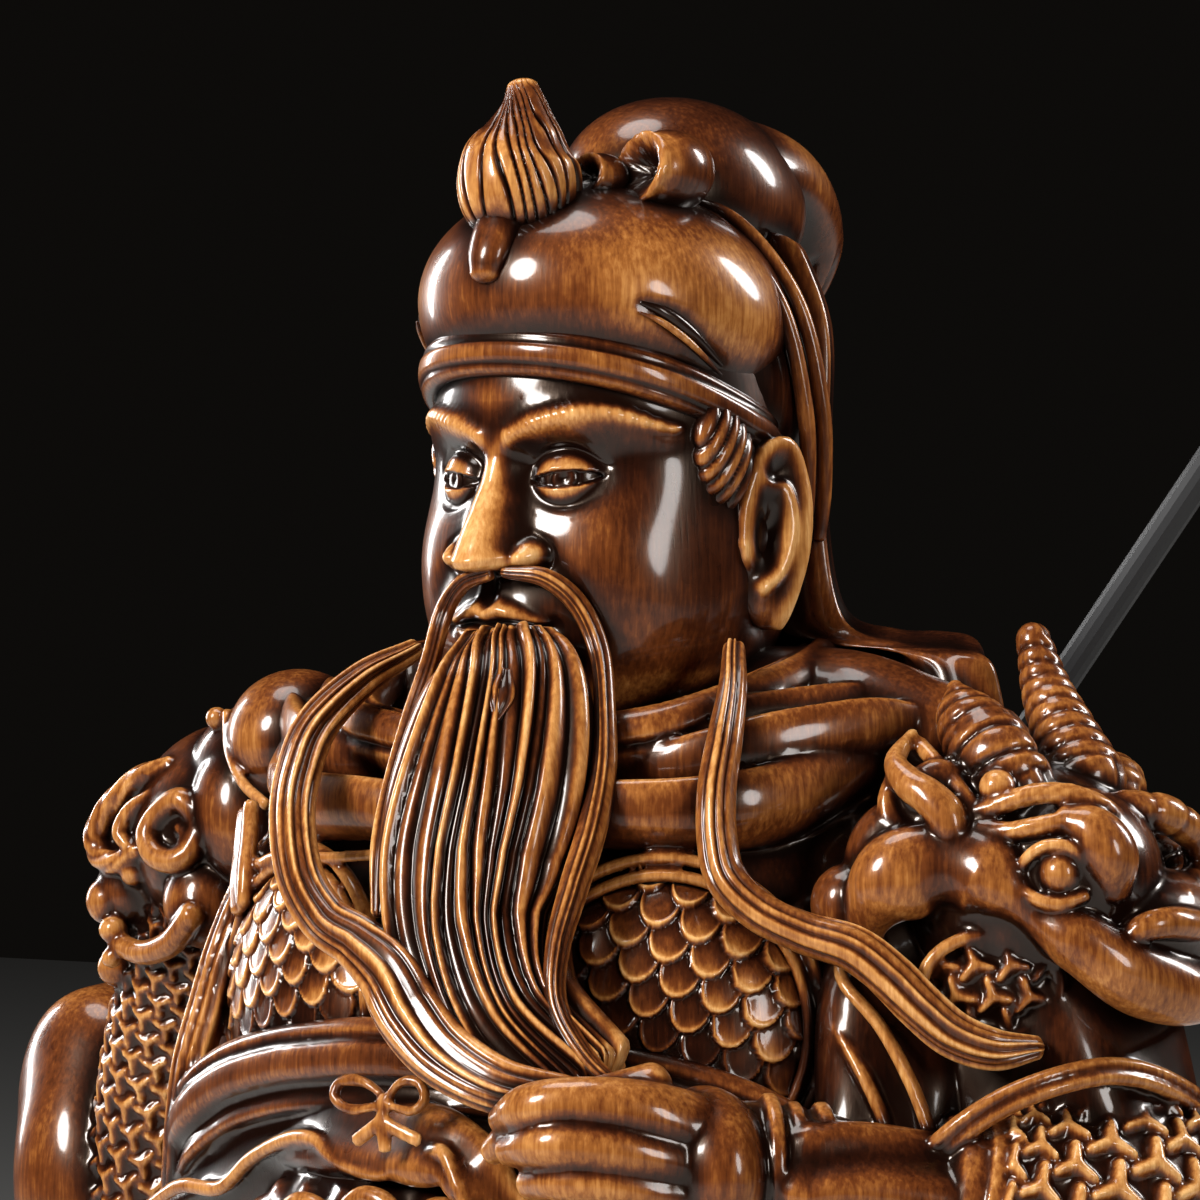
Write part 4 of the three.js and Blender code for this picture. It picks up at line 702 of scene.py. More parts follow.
# The armour, its plates and the belt
armourShape = {
    "trunk": [[214, 0, 0, 50, 40, 26], [226, 0, 0, 57, 47, 30], [242, 0, 0, 61, 48, 37],
              [258, 0, 0, 60, 46, 38], [276, 0, 0, 57, 44, 37], [292, 0, 0, 58, 38, 35],
              [306, 0, 0, 51, 29, 31], [316, 0, 0, 33, 22, 24], [322, 0, 0, 22, 18, 20]],
    "lappet": [[0, -39, 301, 4.6, 3.4], [14.8, -39.6, 302.4, 5, 3.4], [25.2, -37.2, 302.5, 5.4, 3.4],
               [32.6, -33.4, 302.3, 5.9, 3.4], [39.2, -28.4, 303.2, 5.9, 3.4], [44, -21, 305, 5.8, 3.4],
               [47.6, -12.6, 309, 5.2, 3], [50, -4.4, 313, 3, 2.2], [51.4, 0, 315.6, 0.7, 0.9]],
    "petal": [[20, -30, 308, 3.8, 2.4], [30, -28.6, 309, 4.8, 2.8], [38, -24.6, 311, 5.4, 3],
              [45, -17.4, 313, 5.2, 3], [51, -9.4, 314.4, 4.6, 2.6], [56, -2, 314, 3, 1.8]],
    "scarf": [[0, -31, 309], [18.6, -30.2, 311.6], [27.6, -25.4, 313.6], [34, -14, 317.4], [34.6, 0, 321],
              [25, 15, 323], [0, 23, 325], [-25, 15, 323], [-34.6, 0, 321], [-34, -14, 317.4],
              [-27.6, -25.4, 313.6], [-18.6, -30.2, 311.6]],
    "belt": [[-66, 4, 240], [-63, -20, 246], [-54, -32.5, 255.4], [-43.7, -38, 261.7], [-31.6, -42.6, 265.4],
             [-19.6, -46.6, 267.4], [-7.8, -49.6, 268.6], [7.8, -49.6, 268.6], [19.6, -46.6, 267.4],
             [31.6, -42.6, 265.4], [43.7, -38, 261.7], [54, -32.5, 255.4], [63, -20, 246], [66, 4, 240],
             [42, 33, 239], [0, 40.4, 239], [-42, 33, 239]],
    "plate": {"centre": (30, -34, 273), "radii": (20.6, 8.5, 21), "turn": 25},
    "scaleWidth": 6.0,
    "scaleHeight": 3.9,
    "sheet": [[-60, -29, 243, 4, 3.4], [-46.6, -36, 248.4, 5.6, 3.8], [-31.4, -41, 254.8, 6, 4.4],
              [-14.8, -49, 256.6, 6.2, 4.8], [0.8, -55, 256.8, 6, 4.8], [10.3, -57.4, 256, 5.4, 4.4],
              [15.5, -58.4, 252.7, 4.6, 3.6], [22, -57, 247, 2.4, 2.4]],
    "hem": [[-61, -33.6, 241.4], [-52, -38, 245.4], [-42, -41.6, 246.2], [-34, -44.6, 251.4],
            [-24.2, -48.9, 255.2], [-17.3, -51.9, 255.6], [-12.3, -53.5, 253.2], [-2.6, -56.9, 252.4],
            [5.9, -58.6, 255.6], [10, -60, 256.4], [13, -61, 252.6], [16, -61, 248.4], [24, -59, 246.4]],
    "bowLeft": [[1.2, -60.9, 263.2, 0.7, 0.7], [-2.7, -60.8, 265.4, 1, 0.9], [-7.2, -60, 265.4, 1.1, 1],
                [-8.4, -60.3, 263.2, 1.1, 1], [-5.2, -61, 261.6, 1, 0.9], [0.6, -61.7, 262.6, 0.8, 0.8]],
    "bowRight": [[1.4, -61.7, 263.5, 0.7, 0.7], [3.8, -61.8, 265.9, 0.9, 0.9], [6.6, -61.6, 266.1, 1, 0.9],
                 [8, -62, 264, 1, 0.9], [6.4, -62.6, 262.2, 0.9, 0.9], [2.4, -62.2, 262.6, 0.7, 0.7]],
    "chestLine": [[8, -42.6, 296.6], [21.7, -41, 295.4], [29.8, -38.4, 295], [36.3, -35.6, 294.8],
                  [43, -31, 293.4], [52, -20, 294]],
    "strap": [[48.4, -26, 301, 3.2, 1.4], [47, -28.6, 295.4, 3.8, 1.5], [45.8, -31, 291.1, 3.8, 1.5],
              [44.8, -32.6, 287, 3, 1.3]],
    # the curls of the mask at the belt: x, z and size, then one curl's path across and up with its thickness
    "maskCurls": [(-27, 240, 4.4), (-15, 243, 5), (-3, 244.6, 5.2), (9, 244, 5), (20, 242, 4.6)],
    "maskCurl": [(-1.1, -1, 0.8), (-1, 0.2, 1), (-0.3, 0.9, 1.1), (0.6, 0.7, 1.1), (0.8, -0.1, 1),
                 (0.3, -0.5, 0.9), (-0.2, -0.2, 0.8), (0.1, 0.2, 0.6)],
    # the bow's tails: their low ends and the way they spread
    "tails": [([-3.4, -62, 257.4], -1), ([2, -62.6, 256.6], 0), ([7.4, -62.4, 258.2], 1)],
    # round each plate: forward of its middle, half width, half height and half thickness
    "plateRings": [(3.2, 20.4, 21.2, 0.9), (2.0, 22.6, 23.6, 0.9)],
    "border": [[-46, -19, 298, 2.2, 1.6], [-49.2, -24, 290, 3, 1.9], [-51.2, -27.6, 281, 3.4, 2],
               [-53, -29.6, 272, 3.6, 2], [-55, -31.4, 262, 3.6, 2], [-57, -31, 250, 3.4, 2],
               [-60, -28, 238, 3.4, 2]],
}


def makeArmour():
    # the trunk with the collar, belt, sheet, bow and mask, and apart from them the two scaled plates
    shape = armourShape

    def folded(count, depth):
        # creases along a roll of cloth
        return lambda t, a: depth * grooves(a + 0.2, count, 0.22)

    def beltRelief(t, a):
        # a narrow ridge along the upper edge, a channel, a broad band and a lip
        v = np.cos(a) * np.sign(0.5 - (np.sin(a) > 0))
        cuts = 1.8 * np.exp(-(((v - 0.48) / 0.22) ** 2)) + 1.1 * np.exp(-(((v + 0.6) / 0.1) ** 2))
        return (0.5 * np.exp(-(((v - 0.84) / 0.1) ** 2)) - cuts) * (np.abs(np.sin(a)) > 0.2)

    def channel(t, a):
        # a concave groove along the middle that opens away from the throat, between two raised edges
        v = np.cos(a)
        opened = smoothStep((t - 0.3) / 0.2) * (np.sin(a) < 0)
        edges = 0.3 * np.exp(-(((np.abs(v) - 0.86) / 0.1) ** 2))
        return opened * (-1.7 * np.exp(-(((v + 0.1) / 0.42) ** 2)) + edges)

    def curls(p):
        # low bumps in staggered rows over the mask
        return 0.7 * np.cos(0.8 * p[..., 0] + np.sin(0.5 * p[..., 2])) * np.cos(0.9 * p[..., 2])

    belt = [[p[0], p[1], p[2] - 1.6, 6.6, 3.4] for p in shape["belt"]]
    bows = [[[p[0], p[1] + 0.3, p[2], 0.72 * p[3], p[4]] for p in shape[name]]
            for name in ("bowLeft", "bowRight")]
    scarf = [[*p, 5.4, 4.4] for p in shape["scarf"]]
    parts = [
        stack(shape["trunk"], 90, 50, tone=-0.1),
        tube(scarf, [0, -0.3, 1], 60, 150, closed=True, relief=folded(4, 1.3), tone=-0.04),
        tube(belt, [0, 0, 1], 52, 220, closed=True, relief=beltRelief, reach=0.9, tone=-0.13),
        tube([[p[0] * 0.97, p[1] * 0.96, p[2] - 14, 8, 3] for p in shape["belt"]], [0, 0, 1], 30, 160,
             closed=True, tone=-0.06),
        tube([[-57, 9, 303, 15, 12], [-40, 7, 305, 16, 16], [0, 4, 306, 16, 22], [40, 7, 305, 16, 16],
              [57, 9, 303, 15, 12]], [0, 0, 1], 60, 60, tone=-0.2),
        tube([[20, 0, 317, 9, 10], [40, 0, 316.5, 9, 10], [54, 2, 313, 8, 9]], [0, 0, 1], 50, 40,
             tone=-0.12),
        tube([[-20, 0, 317, 9, 10], [-36, 0, 316.5, 9, 10], [-46, 2, 314, 8, 9]], [0, 0, 1], 50, 40,
             tone=-0.12),
        ball([50, -9, 268], [13, 15, 26], around=50, along=40, tone=-0.16),
        ball([-50, -9, 268], [13, 15, 26], around=50, along=40, tone=-0.16),
        tube([[*p[:4], 0.7 * p[4]] for p in shape["sheet"]], around=60, along=110, face=[0.3, -0.95, 0.4],
             reach=1.6, relief=lambda t, a: -1.1 * np.exp(-((np.cos(a) / 0.5) ** 2)) + 0.3 * np.cos(30 * t)),
        tube([[*p, 1.1, 1.2] for p in shape["hem"]], around=16, along=150, tone=0.05),
        ball([0, -44, 238], [36, 14.4, 17], around=150, along=90, tone=-0.12, relief=curls),
        tube(bows[0], around=14, along=60, tone=-0.1),
        tube(bows[1], around=14, along=60, tone=-0.1),
        ball([1.3, -61.4, 263], [1.4, 1.2, 1.5], around=16, along=12),
    ]
    for low, spread in shape["tails"]:
        tail = [[1.3, -61.9, 262.4, 0.6, 0.6], [1.3 + 0.8 * spread, -62.2, 260.2, 1, 0.7], [*low, 1.1, 0.6]]
        parts.append(tube(tail, around=14, along=30, face=[0.3, -0.95, 0]))
    for x, z, size in shape["maskCurls"]:
        y = -44 - 15 * math.sqrt(1 - (x / 37) ** 2)
        curl = [[x + size * c, y + 0.2 * size * c * x / 28, z + size * n, 1.4 * k, 1.4 * k]
                for c, n, k in shape["maskCurl"]]
        parts.append(tube(curl, around=18, along=60, face=[0, -1, 0]))
    plate = shape["plate"]
    plates = []
    for s in (-1, 1):
        tilt = math.radians(-20 * s)
        out = np.array([s * math.sin(math.radians(plate["turn"])), -math.cos(math.radians(plate["turn"])), 0])
        across = [math.cos(math.radians(plate["turn"])), math.sin(math.radians(plate["turn"])) * s, 0]
        middle = np.array([s * plate["centre"][0], *plate["centre"][1:]])

        def plateRelief(p, tilt=tilt):
            # scales in rows tilted by that angle, inside the plate's rim and on its front alone
            u = p[..., 0] * math.cos(tilt) + p[..., 2] * math.sin(tilt)
            v = p[..., 2] * math.cos(tilt) - p[..., 0] * math.sin(tilt)
            inside = smoothStep((1 - np.hypot(p[..., 0] / 20, p[..., 2] / 20.4)) / 0.06) * (p[..., 1] < 0)
            return 1.25 * scales(u, v, shape["scaleWidth"], shape["scaleHeight"]) * inside

        plates.append(ball(middle, plate["radii"], [0, 0, s * plate["turn"]], 200, 196, lean=0.66,
                           relief=plateRelief, reach=1.0, tone=0.14))
        parts.append(ball(middle, [r - 1.6 for r in plate["radii"]], [0, 0, s * plate["turn"]], 40, 40))
        for forward, wide, tall, half in shape["plateRings"]:
            angle = 2 * math.pi * np.arange(20) / 20
            path = middle + forward * out + np.cos(angle)[:, None] * wide * np.array(across)
            path[:, 2] += np.sin(angle) * tall
            stations = np.column_stack([path, np.full(20, half), np.full(20, 1.3)])
            parts.append(tube(stations, around=24, along=150, closed=True, face=out, tone=0.03))
        parts += [
            tube(mirrored(s, shape["lappet"]), [0, -0.4, 1], 72, 110, relief=channel, reach=1.4, square=1.6),
            tube(mirrored(s, shape["petal"]), [0, -0.4, 1], 48, 60, tone=-0.04, square=1.6),
            tube([[p[0] * 0.9, p[1] + 3, p[2] + 6 - 0.07 * p[0] * s, 0.9 * p[3], p[4]]
                  for p in mirrored(s, shape["petal"])], [0, -0.4, 1], 48, 60, tone=-0.12, square=1.6),
        ]
        if s < 0:
            parts.append(tube([[*p, 0.8, 0.9] for p in mirrored(s, shape["chestLine"])], around=12, along=60))
            parts.append(tube(shape["border"], around=40, along=110, face=[-0.1, -1, 0], reach=0.9,
                              relief=lambda t, a: 0.8 * np.abs(np.sin(2 * math.pi * np.cos(a))) - 0.5))
            parts.append(tube(mirrored(s, shape["strap"]), around=28, along=60, face=[s * 0.6, -0.8, 0],
                              square=3, relief=seam(0.7, 0.24)))
    return parts, plates


forms["armour"], forms["plates"] = makeArmour()
print("armour shaped")


# The beasts' heads on the shoulders
def ribbed(count, deep):
    # rings round a horn, each swelling between two grooves
    return lambda t, a: deep * grooves(2 * math.pi * t + 0.35 * np.sin(a), count, 0.34)


leftShoulderShape = {
    "toCamera": [0.5, -0.86, 0.1],
    "lip": [[58.6, -27, 283.4, 1.8, 2.2], [59.8, -30, 287.6, 3.6, 3], [62.4, -30.2, 292.2, 5.2, 3.8],
            [66.2, -28.4, 295.5, 6, 4.4], [70.7, -26.6, 296.5, 6.2, 4.6], [75.6, -25, 295.4, 5.6, 4.4],
            [79.5, -25.2, 293, 4.2, 3.9], [83.7, -24, 289.5, 3.4, 3.4], [88.2, -22.4, 286.7, 3.9, 3.7],
            [92, -20.2, 283.6, 4.8, 4.2], [95.2, -15.7, 280.8, 5.2, 4.4], [98, -8, 279, 4.8, 4.2],
            [97, 4, 280, 4.2, 4], [89, 17, 286, 4.4, 4], [74, 20, 291, 4.4, 4], [62, 18, 288, 3.4, 3.2]],
    "hornBack": [[69, 3, 327, 2.6, 2.6], [71.4, 2.1, 320.2, 3.7, 3.7], [75.3, -0.1, 314, 4.8, 4.8],
                 [79.6, -2.1, 307.4, 6, 6]],
    "hornFront": [[65, -13, 320, 1.6, 1.6], [67, -14.6, 317, 4.4, 3.8], [69.6, -15.5, 313.8, 5.6, 4.6],
                  [72.8, -17, 310.8, 6.2, 5], [75.7, -16.6, 306.4, 6.4, 5.6]],
    "earOuter": [[61.4, -19.4, 314, 0.8, 1], [61.8, -25, 310.4, 1.6, 1.5], [65.1, -27.3, 307.5, 2.3, 2],
                 [68.4, -27.8, 305.7, 2.6, 2.2], [70.9, -27.6, 303.3, 2.8, 2.4],
                 [71.4, -27.2, 300.6, 2.7, 2.4], [70, -26.5, 297.6, 2.2, 2]],
    "earInner": [[61.6, -25, 309.4, 0.8, 0.9], [61.4, -26.8, 304.7, 1.4, 1.3], [63.4, -27, 301, 1.8, 1.5],
                 [67.4, -26.4, 298.8, 1.6, 1.4]],
    "earLine": [[62.6, -20.4, 312.6], [66.6, -22.6, 310], [70.8, -24.6, 307.1], [73.6, -25.4, 303.9],
                [74.6, -25.4, 300.4]],
    "browUpper": [[74.6, -24.4, 303.6], [78.4, -23.9, 305], [82.3, -22.9, 306.2], [86.3, -21, 306.2],
                  [89.7, -18.4, 304.7], [91, -15, 302.4]],
    "browLower": [[75.2, -25.4, 301.4], [78.9, -25, 301.1], [83, -24.6, 301.8], [86.8, -23.4, 302.6]],
    "browKnob": [[86.6, -22.6, 302.8, 2, 2], [90.4, -21.6, 301.2, 3.6, 3.4], [92.4, -20.6, 297.7, 4, 3.8],
                 [92, -19.4, 293.6, 2.8, 2.8]],
    "lidLower": [[78.2, -24.4, 298, 0.6, 0.8], [79.9, -26, 295.1, 0.9, 1], [83.5, -26.6, 292.5, 1, 1.1],
                 [87.2, -25.8, 291.5, 1, 1.1], [90.2, -23.6, 292.6, 0.8, 0.9]],
    "lidUpper": [[81.2, -25.4, 294.6, 0.6, 0.7], [82.3, -26.2, 297.3, 0.8, 0.9], [85.1, -26, 299.3, 0.9, 1],
                 [88.2, -25, 299.3, 0.9, 1], [90.2, -23.6, 297.3, 0.8, 0.8]],
    "nostril": [[94.4, -18, 285, 1.3, 1.3], [95.8, -18.6, 287.8, 1.9, 1.9], [98.6, -15.4, 288.8, 2.2, 2.2],
                [99.6, -9, 288, 2.3, 2.3], [98, -2, 287, 2, 2]],
    # x, y, z and radius
    "knobs": [[93, -15.6, 290.6, 2.2], [95.6, -12, 291.6, 1.8], [89.6, -20, 289.8, 1.6],
              [97.4, -8, 292, 1.6]],
    "mane": [[78, 9, 306], [83, 12, 300], [87, 13, 292]],
    "ridge": [[88, -10, 304, 3, 2.6], [92.4, -4, 303, 3.2, 2.8], [94.6, 2, 299.6, 2.6, 2.4],
              [95.4, 3, 294.6, 3, 3], [95, -4, 291, 2.4, 2.4]],
}


def makeShoulder():
    # the beast's head that covers the left shoulder, the sleeve coming out of its mouth
    shape = leftShoulderShape
    parts = [
        ball([74, -7, 291], [18.6, 20.5, 19], around=70, along=50, tone=-0.1),
        ball([67, -17, 301], [9, 9.4, 9], around=44, along=36, tone=-0.1),
        ball([84, -13.4, 295], [11.6, 12, 12], around=50, along=40, tone=-0.08),
        ball([92, -5, 287], [9, 13.4, 8.6], around=50, along=40),
        ball([55.6, -27.4, 290.6], [5.2, 5.4, 5.6], around=36, along=28, tone=-0.12),
        ball([59.4, -23.6, 298], [5, 6.4, 7.4], [0, 24, 0], 40, 32, tone=-0.12),
        tube(shape["lip"], around=44, along=190, face=shape["toCamera"], reach=2, tone=0.02,
             relief=lambda t, a: 0.7 * np.cos(34 * t + 0.6) * smoothStep((0.62 - t) / 0.12)),
        tube(shape["hornBack"], around=40, along=100, relief=ribbed(9, 1.0), roundness=1, tone=-0.08),
        tube(shape["hornFront"], around=44, along=100, relief=ribbed(7, 1.2), roundness=1, tone=-0.1),
        ball([76.4, -22.8, 307], [2.6, 2.4, 2.5], around=24, along=18),
        tube(shape["earOuter"], around=28, along=80, face=shape["toCamera"]),
        tube(shape["earInner"], around=20, along=50, face=shape["toCamera"]),
        tube([[p[0], p[1] + 0.8, p[2], 1.2, 1.2] for p in shape["earLine"]], around=18, along=50),
        ball([66.2, -22.6, 304.6], [5.2, 3.4, 6.6], [0, 30, 30], 30, 24, tone=-0.24),
        tube([[*p, 1.5, 1.6] for p in shape["browUpper"]], around=26, along=90,
             relief=ringed(0.4, 6, 0.3, 1)),
        tube([[*p, 1.4, 1.5] for p in shape["browLower"]], around=26, along=60,
             relief=ringed(0.3, 5, 0.3, 1)),
        tube(shape["browKnob"], around=36, along=50, face=shape["toCamera"]),
        ball([86.6, -24, 295.6], [3, 2.8, 3], around=32, along=24),
        tube(shape["lidLower"], around=14, along=50, face=shape["toCamera"]),
        tube(shape["lidUpper"], around=14, along=50, face=shape["toCamera"]),
        tube(shape["nostril"], around=28, along=60, face=shape["toCamera"]),
        tube([[52, 6, 300, 12, 12], [74, 0, 298, 14, 14]], [0, 1, 0], 50, 16, roundness=0, tone=-0.12),
    ]
    parts.append(tube(shape["ridge"], around=36, along=80, relief=ringed(0.4, 6, 0.35)))
    for x, y, z, size in shape["knobs"]:
        parts.append(ball([x, y, z], [size, size, 0.8 * size], around=22, along=16))
    for x, y, z in shape["mane"]:
        parts.append(ball([x, y, z], [5.4, 6.4, 5], [20, 0, 30], 36, 28,
                          relief=lambda p: 0.5 * grooves((p[..., 1] + 0.6 * p[..., 2]) * 1.9, 1, 0.4)))
    return parts


rightShoulderShape = {
    "outward": [-0.3, -0.95, 0.1],
    "ear": [[-70.4, -13.4, 301.6], [-67.4, -13, 298], [-67.8, -14.2, 294.2], [-70.4, -15.2, 292.2],
            [-74.4, -15, 293], [-76.6, -13.9, 296.2], [-74.6, -13.2, 299.6]],
    "curl": [[-73.6, -14, 292.8, 0.9, 0.9], [-70.2, -14.6, 293.4, 1.1, 1.1], [-69, -14.2, 296, 1.1, 1.1],
             [-70.6, -14, 297.4, 0.8, 0.8]],
    "brow": [[-76.4, -8.6, 307, 1.3, 1.3], [-81.9, -8.4, 305, 1.9, 1.8], [-86.5, -7.8, 302.1, 2.1, 2],
             [-90.1, -7.4, 298.8, 2.2, 2.1], [-92, -7.4, 295.1, 2.2, 2.1], [-90.4, -8, 291.9, 2.1, 2],
             [-85.8, -9.8, 291.3, 1.9, 1.8], [-81, -11.2, 293.4, 1.2, 1.2]],
    "inner": [[-78.6, -10.4, 302.2, 1, 1], [-82.9, -10.2, 299.6, 1.4, 1.3], [-84.6, -10.8, 296.2, 1.4, 1.3],
              [-82.6, -11.4, 294, 1, 1]],
    "jaw": [[-88.4, -8.6, 281, 1.6, 1.6], [-84.8, -9.6, 278.2, 1.8, 1.8], [-78.9, -11.6, 277.4, 2, 1.9],
            [-72, -14, 279.4, 2.2, 2], [-66.4, -16, 284, 2.2, 2]],
    "flap": [[-63.9, -10.2, 315], [-60, -15, 309.5], [-54.6, -18.8, 304.7], [-48, -22, 301.7]],
}


def makeRightShoulder():
    # the other beast's head, seen from its inner side: a curled ear, a brow of knobs and a blunt nose
    shape = rightShoulderShape
    parts = [
        ball([-71.4, 3, 295.4], [17.4, 17, 18], around=60, along=44),
        ball([-81, 1, 293], [12, 10.5, 13], around=48, along=36),
        ball([-87.4, -1.6, 286.6], [6.6, 8, 8], around=40, along=30),
        ball([-68.6, -9.4, 285.6], [7, 6.6, 7.4], around=40, along=30),
        ball([-62, -7, 299], [9, 9, 12], [0, -16, 0], 44, 34, tone=-0.05),
        ball([-52.4, -7, 311.4], [11, 12, 10.6], [0, 20, 0], 60, 50, reach=2),
        ball([-64, 0, 307], [12, 12, 10], [0, -24, 0], 50, 40, reach=2),
        tube([[*p, 0.9, 1.1] for p in shape["flap"]], around=14, along=50),
        tube([[*p, 2, 2] for p in shape["ear"]], around=28, along=90, closed=True, face=shape["outward"]),
        tube(shape["curl"], around=18, along=40, face=shape["outward"]),
        tube(shape["brow"], around=30, along=110, face=shape["outward"],
             relief=ringed(0.6, 6, 0.34, 0.8)),
        tube(shape["inner"], around=22, along=50, face=shape["outward"]),
        tube(shape["jaw"], around=26, along=70, face=shape["outward"]),
        ball([-66.5, -9.6, 314.3], [1.8, 1.8, 1.8], around=20, along=16),
        ball([-90.3, -6.4, 284.9], [3.6, 3.6, 3.9], around=32, along=24),
        ball([-83, -9.2, 289.8], [2.3, 2.2, 2.3], around=24, along=18),
        ball([-87, -9.4, 280.6], [2.4, 2.2, 2.2], around=24, along=18),
        ball([-86.8, -10, 276.2], [1.7, 1.7, 1.7], around=20, along=16),
        tube([[-60, 18, 288, 3.4, 3.2], [-74, 20, 290, 4.4, 4], [-88, 14, 284, 4.2, 4], [-92, 4, 277, 4, 3.8],
              [-90, -5, 274, 3, 3]], around=28, along=70),
        tube([[-52, 6, 300, 12, 12], [-74, 4, 296, 13, 13]], [0, 1, 0], 50, 16, roundness=0, tone=-0.12),
    ]
    return parts


# The arms
leftArmShape = {
    "toCamera": [0.5, -0.86, 0.1],
    "hanging": [[84, -13, 236, 11, 13], [76, -20, 222, 10, 15], [73, -22, 200, 10, 18],
                [73, -22, 178, 12, 21], [74, -22, 158, 12, 23]],
    "fingers": [
        [[23.2, -65, 262.3, 2.3, 2.3], [29.7, -68.7, 264.5, 3.4, 3.2], [36.5, -66.8, 265.2, 3.8, 3.5],
         [43.3, -61.6, 263.9, 4.5, 4.2], [48.6, -54, 260.4, 5.6, 5.2]],
        [[25, -66, 258.4, 2.4, 2.4], [32.5, -69.4, 259.8, 3.3, 3.1], [39.3, -66.8, 259.6, 3.7, 3.4],
         [45, -61, 258, 4.2, 4], [49.5, -53, 255.4, 4.8, 4.6]],
        [[28, -65.6, 254, 2.3, 2.3], [34.8, -68, 255, 3.1, 3], [40.7, -65.4, 254.6, 3.4, 3.2],
         [46, -59.6, 253, 3.9, 3.7], [50, -51.6, 251, 4.2, 4]],
        [[30.5, -63, 249.6, 2.2, 2.2], [36.2, -65, 250.4, 2.8, 2.7], [41.7, -62, 249.8, 3.1, 2.9],
         [46.6, -56.4, 248.4, 3.5, 3.3], [50, -50, 247, 3.6, 3.4]],
    ],
    "thumb": [[20, -62.6, 257.6, 2, 2], [26, -64.6, 261, 2.9, 2.6], [34, -63, 264.6, 3.4, 3],
              [42, -57, 267, 3.6, 3.4]],
    "guard": [[93, -2, 243, 20, 12.6], [88, -13, 244, 20, 14.6], [79, -25, 246, 17.6, 14.6],
              [72, -32, 248.6, 14.6, 12.8]],
    "strap": [[66, -34.6, 248.6, 2, 1.3], [69.4, -35.8, 253.4, 2, 1.4], [73.8, -36.4, 258, 2, 1.4],
              [79, -35.6, 262.4, 2, 1.4], [84, -32.6, 265.8, 2, 1.4], [89.1, -27.6, 268.1, 2, 1.4],
              [92.8, -21, 268.8, 2, 1.4], [95.6, -13, 267.2, 2, 1.4], [97.6, -3, 263, 2, 1.4],
              [98, 8, 257, 2, 1.4]],
    "folds": [
        [[56, -31, 283.4], [58.4, -34, 279.9], [64.4, -34.6, 274.3], [68.9, -34.2, 266.8],
         [71.6, -33.6, 260]],
        [[54, -30, 275.4], [56.6, -32.6, 273.4], [61.6, -34.4, 267.5], [65, -34.6, 261.3],
         [67, -34, 254.8]],
        [[52.5, -27, 268], [57, -31, 262], [60, -33.4, 256]],
    ],
    # how far along the wrist and the radius of each band
    "bands": [(0, 10.4), (3.4, 9.9), (7.4, 10.6)],
    "wrist": (53.4, -45.4, 255.4),
    "shieldPitch": 4.5,
    "guardPitch": 6.3,
}


def makeLeftArm():
    # the sleeve's cloth over the upper arm, the mailed guard on the forearm, the wrist's bands and the hand
    shape = leftArmShape

    def shieldRelief(p):
        # mail on the front of the small shield alone
        return 1.4 * mail(p[..., 0] + 0.9, p[..., 2] + 1.2, shape["shieldPitch"]) * (p[..., 1] < 0)

    def guardRelief(t, a):
        # mail up to a raised ring near the hand's end
        raised = 0.7 * (np.abs(t - 0.9) < 0.03)
        return 1.7 * mail(a * 17, t * 44 + 1, shape["guardPitch"]) * (t < 0.86) + raised

    shield = ball([76.2, -22.4, 280], [9.2, 4.2, 7], [0, 0, 32], 84, 70, lean=0.5, reach=1.2, tone=-0.08,
                  relief=shieldRelief)
    parts = [
        tube([[66, -1, 296, 19, 19], [76, -6, 270, 18, 19], [84, -8, 250, 16, 17]], [1, 0, 0], 90, 60,
             tone=-0.12, relief=waves(0.9, 5, 3)),
        tube([[57, -13, 290, 10, 11], [58, -18, 274, 12, 13], [60, -25, 258, 11, 10], [58, -34, 248, 9, 8]],
             [1, 0, 0], 90, 70, tone=-0.14, relief=waves(0.8, 4, -2)),
        shield,
        ringRound([76.9, -25.6, 280], [0.85, 0.53, 0], [0, 0, 1], [9.4, 7], 1, 72, 12),
        tube(shape["guard"], [0, 0, 1], 230, 120, roundness=0.3, tone=0.12, relief=guardRelief),
        tube([[77, -28, 246, 12, 12], [64, -40, 252, 10.2, 9.4], [58, -44, 254, 9.4, 8.8]], [0, 0, 1], 80, 50,
             relief=waves(0.7, 6, 4), tone=-0.06),
        tube([[66, -38, 251, 9, 8.5], [50, -48, 256.5, 8.6, 7.6]], [0, 0, 1], 40, 16),
        ball([47, -51.6, 255.6], [11.6, 8, 11.4], [0, 0, -32], 60, 44),
        tube(shape["hanging"], around=120, along=60, roundness=0, relief=waves(1.3, 7, 2)),
        tube(shape["strap"], around=28, along=140, face=[0.75, -0.55, 0.35], tone=-0.05,
             relief=seam(1.0, 0.26)),
        tube(shape["thumb"], around=28, along=50),
    ]
    parts.append(ringRound([73.4, -22, 159.4], [1, 0, 0], [0, 1, 0], [12, 23], 1.7, 90, 16))
    parts += [tube([[p[0] - 0.6, p[1] + 1.6, p[2], 0.9, 1.3] for p in fold], around=16, along=60)
              for fold in shape["folds"]]
    for shift, size in shape["bands"]:
        place = np.array(shape["wrist"]) + shift * np.array([0.76, 0.6, -0.2])
        band = [[*(place + [-0.5, -0.4, 0]), size, size * 0.92],
                [*(place + [0.5, 0.4, 0]), size, size * 0.92]]
        parts.append(tube(band, [0, 0, 1], 60, 5, roundness=0.14))
    return parts + [tube(f, [0, 0, 1], 30, 50, tone=0.05) for f in shape["fingers"]]


